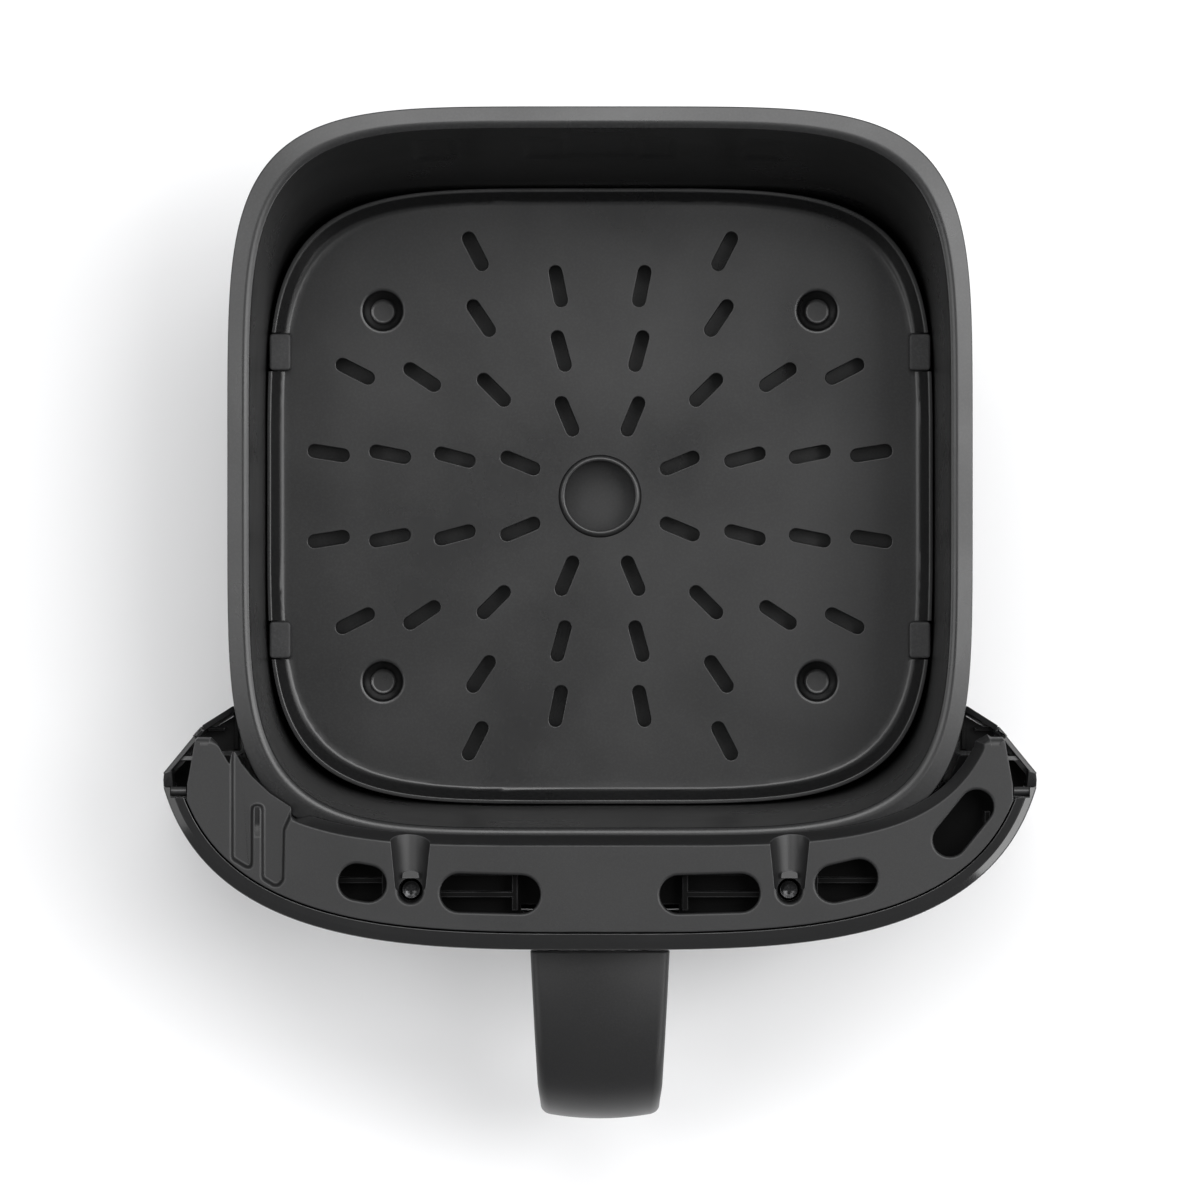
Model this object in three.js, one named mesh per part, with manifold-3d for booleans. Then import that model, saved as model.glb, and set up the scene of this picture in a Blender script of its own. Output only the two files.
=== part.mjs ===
// Drawer of a basket air fryer: a square non-stick pan with a lift-out crisper plate, the plastic housing
// that wraps the pan's front corners, and a down-curved handle.
//
// Millimetres, +Z up. The origin is the middle of the pan's flat underside. The handle points towards -Y
// and +X is on the right of a person who looks down at the drawer with the handle nearest to them.
import * as THREE from "three";
import { mergeVertices } from "three/addons/utils/BufferGeometryUtils.js";
import Module from "manifold-3d";

const wasm = await Module();
wasm.setup();

// ---------------------------------------------------------------- driving dimensions

const GAP = 0.3; // clearance between pieces that touch on the real drawer

// Heights of the main levels.
const FLOOR_TOP = 1.2; // inside of the pan's floor
const LIP_TOP = 110; // inner edge of the pan's lip
const COVER_TOP = 118; // top face of the housing
const FASCIA_TOP = 117.6; // flat band on the fascia's top edge
const HOUSING_BOTTOM = 3; // lower edge of the fascia

// Pan: a superellipse in plan, drawn in towards its floor, most at the back.
const PAN_SHEET = FLOOR_TOP;
const PAN_TOP = { z: 108, half: 106, front: 106, back: 106 };
const PAN_LOW = { z: 19, half: 104.6, front: 101.2, back: 92.3 };
const PAN_SQUARENESS = 5;
const PAN_CORNER = 13; // radius between wall and floor
const LIP_OUTER = 113; // half width of the lip over its outer edge
const LIP_INNER = 108.3; // half width at the lip's crest
const LIP_FALL = 0.9; // how far the lip drops from its inner to its outer edge
const LIP_SHEET = 1.5;
const LIP_HEM = 106.5; // lower edge of the lip's turned-down hem

// Crisper plate.
const PLATE_SHEET = 1.2;
const PLATE_Z = 14; // underside of the flat plate
const PLATE_RIM_TOP = 19;
const PLATE = { a: 104.06, b: 96.25, n: 4.5, y: -4.47 };
const PLATE_HOLE_R = 11;
const PLATE_SLOT = { length: 13, width: 4 };
const LEG = { x: 68, y: 58, top: 7, foot: 4.5 };
const RIM_NOTCH = { seat: 96, deep: 101.2, out: 106 }; // where a bumper sits in the plate's rim, as x
const BUMPER = { y: 45, half: 5.8, out: 103.4, in: 96.5, low: 12.6, high: 19.8 };

// Housing outlines in plan, all superellipses.
const FRONT = { a: 136.1, b: 95.66, n: 3.27, y: -47.16 }; // outer face of the fascia
const COVER_REAR = { a: 123.8, b: 110.9, n: 4.5, y: 0 }; // rear edge of the cover, over the pan's lip
const FRAME_REAR = { a: 114.6, b: 114.6, n: 5, y: 0 }; // pan side of the inner frame
const SHIELD = { a: 113.7, b: 113.7, n: 5, y: 0 };
const SHIELD_SHEET = 0.6;
const FASCIA_END_Y = -93.6; // the fascia is cut square here at both ends
const BAND = 5; // width of the fascia's top edge, in plan
const COVER_SHEET = 2.5;
const COVER_END_Y = -99.5;
const SKIRT_RUN = 2.7; // the cover's rear face leans this far towards the pan
const SKIRT_BOTTOM = 110.5;
const WEB = { low: 98, high: 100.5 };
// Front wall of the frame: how far it stands behind the fascia's face, and its top.
const FRAME_FRONT = { in: 3.8, out: 5.8, top: 111 };
const FRAME_BOTTOM = 6;
const BASE = { low: 3.2, high: 5.7 };

// Housing screws, in wells that a screwdriver reaches along a tapered channel from the pan side.
const WELL = { x: 57.3, y: -124.8, r: 3.75, wall: 2.2, seat: 103.3, bottom: 100.8 };
const CHANNEL = { rearR: 5.9, frontR: 4.25, rearY: -106, wall: 1.6, endY: -111.5 };

// Slots in the cover: centre, overall length, width and turn in degrees.
const COVER_SLOTS = [
  { x: 33.2, y: -125.7, length: 30.3, width: 11.5, turn: 1.5 },
  { x: -33.2, y: -125.7, length: 30.3, width: 11.5, turn: -1.5 },
  { x: 74.5, y: -121.8, length: 19.1, width: 11.2, turn: 13 },
  { x: -71.8, y: -122.4, length: 14.5, width: 10.9, turn: -10 },
  { x: 109.8, y: -104.4, length: 23.1, width: 10.3, turn: 51 },
];

// Handle: its outer face follows a superellipse quarter, then turns straight down.
const HANDLE = { rootY: -143.4, topZ: 106, reach: 53, drop: 44, n: 3, endZ: 44 };
const HANDLE_HALF = { root: 21.2, end: 18.2 }; // half width
const HANDLE_SEAM = 4.6; // depth of the seam between the shells below the outer face
const HANDLE_THICK = 13;
const CORE_HALF = 9.2;
const HANDLE_SCREW = { x: 14.5, z: 97.2, r: 1.8, headR: 3.5 };

// ---------------------------------------------------------------- geometry helpers

const RING_STEPS = 56; // points round a full superellipse
const ROUND_STEPS = 12; // points round a small hole or shaft

function solid(geometry) {
  const bare = geometry.clone();
  bare.deleteAttribute("normal");
  bare.deleteAttribute("uv");
  const merged = mergeVertices(bare, 1e-4);
  const triVerts = new Uint32Array(merged.index.array);
  const vertProperties = new Float32Array(merged.attributes.position.array);
  let made = new wasm.Manifold(new wasm.Mesh({ numProp: 3, vertProperties, triVerts }));
  if (made.volume() < 0) {
    triVerts.reverse();
    made = new wasm.Manifold(new wasm.Mesh({ numProp: 3, vertProperties, triVerts }));
  }
  return made;
}

function join(...solids) {
  return solids.reduce((whole, next) => whole.add(next));
}

function cut(body, ...tools) {
  return tools.reduce((left, tool) => left.subtract(tool), body);
}

function box(x0, x1, y0, y1, z0, z1) {
  const g = new THREE.BoxGeometry(Math.abs(x1 - x0), Math.abs(y1 - y0), Math.abs(z1 - z0));
  g.translate((x0 + x1) / 2, (y0 + y1) / 2, (z0 + z1) / 2);
  return solid(g);
}

// An upright shaft or cone from z0 to z1.
function shaft(x, y, z0, z1, r0, r1 = r0, steps = ROUND_STEPS) {
  const g = new THREE.CylinderGeometry(r1, r0, z1 - z0, steps);
  g.rotateX(Math.PI / 2);
  g.translate(x, y, (z0 + z1) / 2);
  return solid(g);
}

// A shaft or cone that lies along Y, from y0 to y1.
function shaftY(x, z, y0, y1, r0, r1 = r0, steps = ROUND_STEPS) {
  const g = new THREE.CylinderGeometry(r1, r0, y1 - y0, steps);
  g.translate(x, (y0 + y1) / 2, z);
  return solid(g);
}

// An upright prism over a flat outline.
function prism(points, z0, z1) {
  const shape = points instanceof THREE.Shape ? points : new THREE.Shape(points);
  const g = new THREE.ExtrudeGeometry(shape, { depth: z1 - z0, bevelEnabled: false, curveSegments: 6 });
  g.translate(0, 0, z0);
  return solid(g);
}

// A closed skin over rings that all have the same number of points, capped at both ends.
function loft(rings) {
  const count = rings[0].length;
  const positions = rings.flat().flatMap((p) => [p.x, p.y, p.z]);
  const index = [];
  for (let i = 0; i + 1 < rings.length; i++) {
    for (let j = 0; j < count; j++) {
      const here = i * count + j;
      const beside = i * count + ((j + 1) % count);
      index.push(here, beside, beside + count, here, beside + count, here + count);
    }
  }
  capRing(rings[0], 0, index, true);
  capRing(rings[rings.length - 1], (rings.length - 1) * count, index, false);
  const g = new THREE.BufferGeometry();
  g.setAttribute("position", new THREE.BufferAttribute(new Float32Array(positions), 3));
  g.setIndex(index);
  return solid(g);
}

// Triangles over one end ring, which is flat: it is unrolled on the plane that its normal gives.
function capRing(ring, first, index, flip) {
  const centre = ring.reduce((sum, p) => sum.add(p), new THREE.Vector3()).divideScalar(ring.length);
  const normal = new THREE.Vector3();
  ring.forEach((p, i) => {
    const q = ring[(i + 1) % ring.length];
    normal.add(p.clone().sub(centre).cross(q.clone().sub(centre)));
  });
  normal.normalize();
  const u = ring[0].clone().sub(centre).normalize();
  const v = normal.clone().cross(u);
  const flat = ring.map((p) => {
    const d = p.clone().sub(centre);
    return new THREE.Vector2(d.dot(u), d.dot(v));
  });
  for (const [a, b, c] of THREE.ShapeUtils.triangulateShape(flat, [])) {
    index.push(first + a, first + (flip ? c : b), first + (flip ? b : c));
  }
}

// A section polygon carried along frames; each frame has an origin and the section's two directions.
function sweep(frames, sectionAt) {
  const rings = frames.map((frame, i) =>
    sectionAt(i / (frames.length - 1)).map(([across, up]) =>
      frame.origin.clone().addScaledVector(frame.u, across).addScaledVector(frame.v, up),
    ),
  );
  return loft(rings);
}

// ---------------------------------------------------------------- outlines in plan

function signedPower(value, power) {
  return Math.sign(value) * Math.abs(value) ** power;
}

// The point of a superellipse at a parameter angle, and its outward normal.
function onSuper({ a, b, n, y }, angle) {
  const c = signedPower(Math.cos(angle), 2 / n);
  const s = signedPower(Math.sin(angle), 2 / n);
  const normal = new THREE.Vector2(signedPower(c, n - 1) / a, signedPower(s, n - 1) / b).normalize();
  return { point: new THREE.Vector2(a * c, y + b * s), normal };
}

// The parameter angle, in the right front quarter, where a superellipse reaches a given y.
function angleAtY({ b, n, y }, target) {
  return -Math.asin((Math.abs(target - y) / b) ** (n / 2));
}

// Points along a superellipse between two angles, moved inwards.
function superArc(curve, from, to, steps, inward = 0) {
  return Array.from({ length: steps + 1 }, (_, i) => {
    const { point, normal } = onSuper(curve, from + ((to - from) * i) / steps);
    return point.addScaledVector(normal, -inward);
  });
}

// The same arc as sweep frames: u points outwards and v points up.
function superFrames(curve, from, to, steps) {
  return Array.from({ length: steps + 1 }, (_, i) => {
    const { point, normal } = onSuper(curve, from + ((to - from) * i) / steps);
    return {
      origin: new THREE.Vector3(point.x, point.y, 0),
      u: new THREE.Vector3(normal.x, normal.y, 0),
      v: new THREE.Vector3(0, 0, 1),
    };
  });
}

// The arc round the front, from its left end to its right end, that stops at a given y.
function frontSpan(curve, endY) {
  const right = angleAtY(curve, endY);
  return [-Math.PI - right, right];
}

function ringOf({ a, b, n, y }, z) {
  return Array.from({ length: RING_STEPS }, (_, i) => {
    const { point } = onSuper({ a, b, n, y }, (2 * Math.PI * i) / RING_STEPS);
    return new THREE.Vector3(point.x, point.y, z);
  });
}

function mirrorX(points) {
  return points.map(([x, y]) => [-x, y]);
}

function toVectors(points) {
  return points.map(([x, y]) => new THREE.Vector2(x, y));
}

// A slot with round ends, as a closed outline.
function stadium({ x, y, length, width, turn }, ends = 6) {
  const r = width / 2;
  const reach = length / 2 - r;
  const angle = THREE.MathUtils.degToRad(turn);
  const points = [];
  for (const side of [1, -1]) {
    for (let i = 0; i <= ends; i++) {
      const t = (side > 0 ? -Math.PI / 2 : Math.PI / 2) + (Math.PI * i) / ends;
      points.push(new THREE.Vector2(side * reach + r * Math.cos(t), r * Math.sin(t)));
    }
  }
  const centre = new THREE.Vector2();
  return points.map((p) => p.rotateAround(centre, angle).add(new THREE.Vector2(x, y)));
}

// ---------------------------------------------------------------- pan and crisper plate

// The plan outline of the pan's inner wall at a height, moved outwards by a distance.
function panOutline(z, out) {
  const t = (z - PAN_LOW.z) / (PAN_TOP.z - PAN_LOW.z);
  const half = THREE.MathUtils.lerp(PAN_LOW.half, PAN_TOP.half, t) + out;
  const front = THREE.MathUtils.lerp(PAN_LOW.front, PAN_TOP.front, t) + out;
  const back = THREE.MathUtils.lerp(PAN_LOW.back, PAN_TOP.back, t) + out;
  return { a: half, b: (front + back) / 2, n: PAN_SQUARENESS, y: (back - front) / 2 };
}

function squareRing(half, z) {
  return ringOf({ a: half, b: half - 0.3, n: PAN_SQUARENESS, y: 0 }, z);
}

// Rings of one skin of the pan from its floor up to a height; out is 0 inside and the sheet outside.
function panSkin(out, floorZ, topZ) {
  const bend = PAN_CORNER + out;
  const bendTop = FLOOR_TOP + PAN_CORNER;
  const rings = [];
  const BEND_STEPS = 4;
  for (let i = 0; i <= BEND_STEPS; i++) {
    const angle = (Math.PI / 2) * (1 - i / BEND_STEPS);
    const z = floorZ + bend * (1 - Math.sin(angle));
    rings.push(ringOf(panOutline(bendTop, out - bend * (1 - Math.cos(angle))), z));
  }
  rings.push(ringOf(panOutline(60, out), 60));
  rings.push(ringOf(panOutline(topZ, out), topZ));
  return rings;
}

function pan() {
  const outside = panSkin(PAN_SHEET, 0, LIP_HEM);
  const lipEdge = LIP_TOP - LIP_FALL;
  const lip = [
    squareRing(LIP_INNER - 0.2, LIP_TOP - LIP_SHEET),
    squareRing(LIP_OUTER - LIP_SHEET, lipEdge - LIP_SHEET),
    squareRing(LIP_OUTER - PAN_SHEET, LIP_HEM),
    squareRing(LIP_OUTER, LIP_HEM),
    squareRing(LIP_OUTER, lipEdge - 0.6),
    squareRing(LIP_OUTER - 0.5, lipEdge),
    squareRing(LIP_INNER, LIP_TOP),
    squareRing(LIP_INNER - 1.7, LIP_TOP - 0.55),
  ];
  const inside = panSkin(0, FLOOR_TOP, PAN_TOP.z).reverse();
  return loft([...outside, ...lip, ...inside]);
}

function plateRing(inset, z) {
  return ringOf({ ...PLATE, a: PLATE.a - inset, b: PLATE.b - inset }, z);
}

// Radial rows of slots that clear the legs and the rim.
function plateSlots() {
  const rows = [
    { r: 27, count: 8 },
    { r: 47, count: 12 },
    { r: 67, count: 16 },
    { r: 86, count: 20 },
  ];
  const edge = { a: PLATE.a - 8, b: PLATE.b - 8 };
  const slots = [];
  for (const { r, count } of rows) {
    for (let i = 0; i < count; i++) {
      const angle = (2 * Math.PI * (i + 0.5)) / count;
      const x = r * Math.cos(angle);
      const y = r * Math.sin(angle);
      const nearLeg = Math.hypot(Math.abs(x) - LEG.x, Math.abs(y) - LEG.y) < LEG.top + 8;
      const reach = 1 + PLATE_SLOT.length / 2 / r;
      const past = Math.abs((x * reach) / edge.a) ** PLATE.n + Math.abs((y * reach) / edge.b) ** PLATE.n;
      if (nearLeg || past > 1) continue;
      const turn = THREE.MathUtils.radToDeg(angle);
      slots.push({ ...PLATE_SLOT, x, y: y + PLATE.y, turn });
    }
  }
  return slots;
}

function crisperPlate() {
  const top = PLATE_Z + PLATE_SHEET;
  const shell = loft([
    plateRing(5, PLATE_Z),
    plateRing(3.2, PLATE_Z + 0.5),
    plateRing(0, PLATE_RIM_TOP - 0.6),
    plateRing(0, PLATE_RIM_TOP),
    plateRing(1.3, PLATE_RIM_TOP),
    plateRing(4.2, top + 0.4),
    plateRing(5, top),
  ]);
  let plate = shell;
  for (const sx of [-1, 1]) {
    for (const sy of [-1, 1]) {
      const legY = PLATE.y + sy * LEG.y;
      const leg = shaft(sx * LEG.x, legY, FLOOR_TOP + GAP, PLATE_Z + 0.2, LEG.foot, LEG.top);
      const notchY = PLATE.y + sy * BUMPER.y;
      const reach = BUMPER.half + GAP;
      const [front, back] = [notchY - reach, notchY + reach];
      const notch = box(sx * RIM_NOTCH.deep, sx * RIM_NOTCH.out, front, back, PLATE_Z - 1, PLATE_RIM_TOP + 1);
      const seat = box(sx * RIM_NOTCH.seat, sx * RIM_NOTCH.out, front, back, top, PLATE_RIM_TOP + 1);
      plate = cut(join(plate, leg), notch, seat);
    }
  }
  const holes = plateSlots().map((slot) => prism(stadium(slot, 2), PLATE_Z - 1, top + 1));
  const lift = shaft(0, PLATE.y, PLATE_Z - 1, top + 2, PLATE_HOLE_R, PLATE_HOLE_R, 24);
  const collar = shaft(0, PLATE.y, PLATE_Z, top + 1.2, PLATE_HOLE_R + 2, PLATE_HOLE_R + 1.4, 24);
  return cut(join(plate, collar), lift, ...holes);
}

// A silicone block that grips the plate's edge and centres it in the pan.
function plateBumper(sx, sy) {
  const y = PLATE.y + sy * BUMPER.y;
  const outline = new THREE.Shape();
  const corner = 1.4;
  const near = BUMPER.in;
  const far = BUMPER.out;
  outline.moveTo(near, -BUMPER.half);
  outline.lineTo(far - corner, -BUMPER.half);
  outline.quadraticCurveTo(far, -BUMPER.half, far, -BUMPER.half + corner);
  outline.lineTo(far, BUMPER.half - corner);
  outline.quadraticCurveTo(far, BUMPER.half, far - corner, BUMPER.half);
  outline.lineTo(near, BUMPER.half);
  const block = prism(outline, BUMPER.low, BUMPER.high);
  const grip = box(near - 1, 101.5, -8, 8, PLATE_Z - GAP, PLATE_Z + PLATE_SHEET + GAP);
  const right = cut(block, grip);
  return (sx > 0 ? right : right.mirror([1, 0, 0])).translate([0, y, 0]);
}

// ---------------------------------------------------------------- housing

// Rear corner of the cover on the right wing, as [x, y]: from the groove's end round to the rear curve.
const COVER_WING = [
  [124.8, -95.7],
  [124.8, -93],
  [122.4, -79.4],
  [121.8, -78.5],
  [117.6, -78.5],
  [115.7, -80.3],
];
// Where the cover's rear edge ends on each wing, and the outermost corner of the left wing's pan side.
const COVER_REAR_END_Y = { right: -81.5, left: -103.2 };
const COVER_LEFT_CORNER = [-111.8, -85.4];
// Shallow recess with two fingers on the left of the cover: its edge along the pan, then its two fingers.
const RECESS_PAN_EDGE = [
  [-110.3, -83],
  [-108.5, -86.4],
  [-105.4, -90.3],
  [-100, -95.4],
  [-93, -100],
];
const RECESS_DEPTH = 2;
// Thicker patch of the cover under the recess's floor.
const RECESS_PAD = { left: -113, right: -92, front: -125.5, back: -80, sheet: 1.6 };
const RECESS = [
  ...RECESS_PAN_EDGE,
  [-95.4, -106.4],
  [-95.7, -121.4],
  [-96.8, -123],
  [-98.6, -123.2],
  [-101.4, -121.8],
  [-102.1, -120.6],
  [-102.1, -99.4],
  [-105.1, -99.4],
  [-105.1, -116.6],
  [-105.9, -118.2],
  [-107.6, -117.9],
  [-110, -115.9],
  [-110.6, -114.4],
];

function coverRearSpan() {
  const { right, left } = COVER_REAR_END_Y;
  return [angleAtY(COVER_REAR, right), -Math.PI - angleAtY(COVER_REAR, left)];
}

// Outline of the cover's top, counter-clockwise from the left end of the groove.
function coverOutline() {
  const [left, right] = frontSpan(FRONT, COVER_END_Y);
  const groove = superArc(FRONT, left, right, 40, BAND + GAP);
  const rear = superArc(COVER_REAR, ...coverRearSpan(), 30);
  const leftWing = mirrorX(COVER_WING).reverse();
  return [
    ...groove,
    ...toVectors(COVER_WING),
    ...rear,
    ...toVectors(RECESS_PAN_EDGE).reverse(),
    new THREE.Vector2(...COVER_LEFT_CORNER),
    ...toVectors(leftWing),
  ];
}

function coverSkirt() {
  const under = COVER_TOP - COVER_SHEET;
  const section = [
    [0, COVER_TOP],
    [1.6, COVER_TOP],
    [1.6, under + 0.1],
    [-SKIRT_RUN + 1.8, SKIRT_BOTTOM],
    [-SKIRT_RUN, SKIRT_BOTTOM],
  ];
  return sweep(superFrames(COVER_REAR, ...coverRearSpan(), 30), () => section);
}

// The screwdriver channel is half a cone that lies along Y under the cover's top face.
function channel(x, grow) {
  return shaftY(x, COVER_TOP, WELL.y, CHANNEL.rearY, CHANNEL.frontR + grow, CHANNEL.rearR + grow, 20);
}

function topCover() {
  const under = COVER_TOP - COVER_SHEET;
  const { left, right, front, back, sheet } = RECESS_PAD;
  const pad = prism(coverOutline(), under - sheet, under + 0.1).intersect(
    box(left, right, front, back, under - sheet, under + 0.1),
  );
  let cover = join(prism(coverOutline(), under, COVER_TOP), coverSkirt(), pad);
  for (const x of [-WELL.x, WELL.x]) {
    const keep = box(x - 12, x + 12, -140, CHANNEL.endY, SKIRT_BOTTOM, COVER_TOP);
    cover = join(
      cover,
      channel(x, CHANNEL.wall).intersect(keep),
      shaft(x, WELL.y, WELL.bottom, COVER_TOP, WELL.r + WELL.wall),
    );
  }
  for (const x of [-WELL.x, WELL.x]) {
    cover = cut(
      cover,
      channel(x, 0),
      shaft(x, WELL.y, WELL.seat, COVER_TOP + 1, WELL.r),
      shaft(x, WELL.y, WELL.bottom - 1, WELL.seat + 1, 2.2),
    );
  }
  const slots = COVER_SLOTS.map((slot) => prism(stadium(slot), under - 1, COVER_TOP + 1));
  const recess = prism(toVectors(RECESS), COVER_TOP - RECESS_DEPTH, COVER_TOP + 1);
  return cut(cover, recess, ...slots);
}

// Section of the fascia as [distance outside the front curve, height], up its face and down its back.
const FASCIA_SECTION = [
  [-6.4, HOUSING_BOTTOM],
  [-4.6, HOUSING_BOTTOM + 3],
  [-3.2, 20],
  [-1.4, 52],
  [-0.3, 85],
  [0, 108],
  [0, 115.3],
  [-2.5, FASCIA_TOP - 0.4],
  [-3, FASCIA_TOP],
  [-BAND, FASCIA_TOP],
  [-BAND, FASCIA_TOP - 2.1],
  [-2.5, FASCIA_TOP - 2.1],
  [-2.5, 108],
  [-2.8, 85],
  [-3.9, 52],
  [-5.7, 20],
  [-7.1, HOUSING_BOTTOM + 4.6],
  [-8.5, HOUSING_BOTTOM + 2.4],
  [-8.5, HOUSING_BOTTOM],
];

// Openings for the handle's core and its two screws, in whatever stands in front of the flange.
function handleOpenings(y0, y1) {
  const { x, z } = HANDLE_SCREW;
  const slot = box(-CORE_HALF - 0.7, CORE_HALF + 0.7, y0, y1, 96.2, 101.4);
  return [slot, ...[-x, x].map((at) => shaftY(at, z, y0, y1, 2.1))];
}

// The fascia's top flange stops short at both ends, where the end caps' bars lie.
const FLANGE_END = { inner: 118, outer: 129.9, front: -96.7, low: FASCIA_TOP - 3.5 };

function frontFascia() {
  const [left, right] = frontSpan(FRONT, FASCIA_END_Y + 2.5);
  const shell = sweep(superFrames(FRONT, left, right, 40), () => FASCIA_SECTION);
  const { inner, outer, front, low } = FLANGE_END;
  const [bottom, top] = [HOUSING_BOTTOM - 1, FASCIA_TOP + 1];
  const ends = [-1, 1].flatMap((s) => [
    box(s * inner, s * outer, front, FASCIA_END_Y + 1, low, top),
    box(s * inner, s * 140, FASCIA_END_Y, FASCIA_END_Y + 8, bottom, top),
  ]);
  return cut(shell, ...ends, ...handleOpenings(-144.5, -139));
}

function wallSection(near, far, low, high) {
  return [
    [near, low],
    [far, low],
    [far, high],
    [near, high],
  ];
}

// A flat web between the frame's rear and front walls, with a notch behind the handle.
function frameWeb() {
  const [frontLeft, frontRight] = frontSpan(FRONT, COVER_END_Y);
  const front = superArc(FRONT, frontLeft, frontRight, 30, FRAME_FRONT.in + 0.6);
  const [rearLeft, rearRight] = frontSpan(FRAME_REAR, -84);
  const rear = superArc(FRAME_REAR, rearRight, rearLeft, 24, -0.4);
  const wing = [
    [123.6, -93.4],
    [120.6, -84],
  ];
  const outline = [...front, ...toVectors(wing), ...rear, ...toVectors(mirrorX(wing).reverse())];
  return cut(prism(outline, WEB.low, WEB.high), box(-24, 24, -129.5, -145, WEB.low - 1, WEB.high + 1));
}

// Stiffening ribs that stand on the web, under the cover's slots.
function frameRibs() {
  const top = 109.8;
  const bottom = WEB.high - 0.5;
  const thick = 1.6;
  const across = [
    { from: 25, to: 50, y: -127, high: top },
    { from: 25, to: 50, y: -120.4, high: top },
    { from: 65, to: 91, y: -122.8, high: top - 2 },
  ];
  const along = [
    { x: 25, front: -131, back: -117.5 },
    { x: 49, front: -131, back: -117.5 },
    { x: 64.4, front: -131, back: -117.5 },
    { x: 90, front: -125, back: -111.5 },
    { x: 116.6, front: -105, back: -101 },
  ];
  return [-1, 1].flatMap((s) => [
    ...across.map(({ from, to, y, high }) => box(s * from, s * to, y, y + thick, bottom, high)),
    ...along.map(({ x, front, back }) => box(s * x, s * (x + thick), front, back, bottom, top)),
  ]);
}

function baseScrewSpots() {
  return [
    { name: "left", x: -72, y: -117.8 },
    { name: "middle", x: 0, y: -120 },
    { name: "right", x: 72, y: -117.8 },
  ];
}

function innerFrame() {
  const [rearLeft, rearRight] = frontSpan(FRAME_REAR, -84);
  const rearWall = sweep(superFrames(FRAME_REAR, rearLeft, rearRight, 31), () =>
    wallSection(0, 2, FRAME_BOTTOM, WEB.high),
  );
  const [frontLeft, frontRight] = frontSpan(FRONT, COVER_END_Y);
  const frontWall = sweep(superFrames(FRONT, frontLeft, frontRight, 32), () =>
    wallSection(-FRAME_FRONT.out, -FRAME_FRONT.in, 72, FRAME_FRONT.top),
  );
  const bosses = baseScrewSpots().map(({ x, y }) => shaft(x, y, FRAME_BOTTOM, 22, 4.2));
  const frame = join(rearWall, frontWall, frameWeb(), ...frameRibs(), ...bosses);
  const tabSlots = [-1, 1].map((s) =>
    box(s * (WELL.x - 8.6), s * (WELL.x + 8.6), -110, -118.5, WEB.low - 2.2, WEB.low),
  );
  const screwHoles = [-1, 1].map((s) => shaft(s * WELL.x, WELL.y, WEB.low - 1, WEB.high + 1, 2.2));
  const bossHoles = baseScrewSpots().map(({ x, y }) => shaft(x, y, FRAME_BOTTOM - 1, 18, 1.8));
  return cut(frame, ...tabSlots, ...screwHoles, ...bossHoles, ...handleOpenings(-141, -136.4));
}

function baseCover() {
  const [frontLeft, frontRight] = frontSpan(FRONT, -103);
  const front = superArc(FRONT, frontLeft, frontRight, 30, 8.5 + GAP);
  const [rearLeft, rearRight] = frontSpan(FRAME_REAR, -86);
  const rear = superArc(FRAME_REAR, rearRight, rearLeft, 24);
  const wing = [[119.5, -86]];
  const plate = prism(
    [...front, ...toVectors(wing), ...rear, ...toVectors(mirrorX(wing))],
    BASE.low,
    BASE.high,
  );
  const holes = baseScrewSpots().flatMap(({ x, y }) => [
    shaft(x, y, BASE.low - 1, BASE.high + 1, 1.9),
    shaft(x, y, BASE.low - 1, BASE.low + 1.2, 3.9),
  ]);
  return cut(plate, ...holes);
}

// A straight upright wall between two plan points, thickened to its left.
function straightWall([x0, y0], [x1, y1], thick, low, high) {
  const along = new THREE.Vector2(x1 - x0, y1 - y0).normalize();
  const side = new THREE.Vector2(-along.y, along.x).multiplyScalar(thick);
  const over = along.clone().multiplyScalar(thick / 2);
  const a = new THREE.Vector2(x0, y0).sub(over);
  const b = new THREE.Vector2(x1, y1).add(over);
  return prism([a, b, b.clone().add(side), a.clone().add(side)], low, high);
}

// Ribbed end of the right wing: it closes the housing against the pan's side.
function rightEndCap() {
  const shoulder = 104;
  const crest = 113;
  const tip = [131.6, -90.5];
  const knee = [121.5, -78.6];
  const shelfLow = 96;
  const bar = { left: 125.2, right: 128.2, front: -96.2, back: -93.7, low: 111.4, high: 115 };
  return join(
    straightWall([119.7, -76.2], [110.6, -70.5], 1.8, BASE.low, shoulder),
    straightWall(knee, [119.7, -76.4], 1.6, BASE.low, shoulder),
    straightWall(tip, knee, 1.4, BASE.low, crest),
    straightWall([109.8, -71.4], [109.8, -82.5], 1.6, BASE.low, shoulder),
    straightWall([111.4, -82.6], [119.8, -82.6], 1.6, BASE.low, shelfLow + 2),
    prism(
      toVectors([
        [109.2, -70.8],
        [109.2, -83],
        [120.6, -83],
        [121.2, -79],
        [119.2, -76.6],
      ]),
      shelfLow,
      shelfLow + 2,
    ),
    box(113.8, 119.2, -76.4, -75.4, shelfLow, shelfLow + 5),
    box(129.3, 132.3, FASCIA_END_Y + 0.4, -90, BASE.low + 60, crest + 1.4),
    box(122.6, 126.6, -85.4, -84.4, shelfLow, crest),
    prism(
      toVectors([
        [121.6, -79.8],
        [129.6, -90],
        [128.2, -94.6],
        [125.2, -94.6],
        [124.4, -88],
      ]),
      shelfLow,
      shelfLow + 1.6,
    ),
    box(bar.left, bar.right, bar.back - 0.9, bar.back + 0.3, shelfLow, bar.low + 0.5),
    box(bar.left, bar.right, bar.front, bar.back, bar.low, bar.high),
  );
}

// ---------------------------------------------------------------- hidden steel pieces and screws

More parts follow.
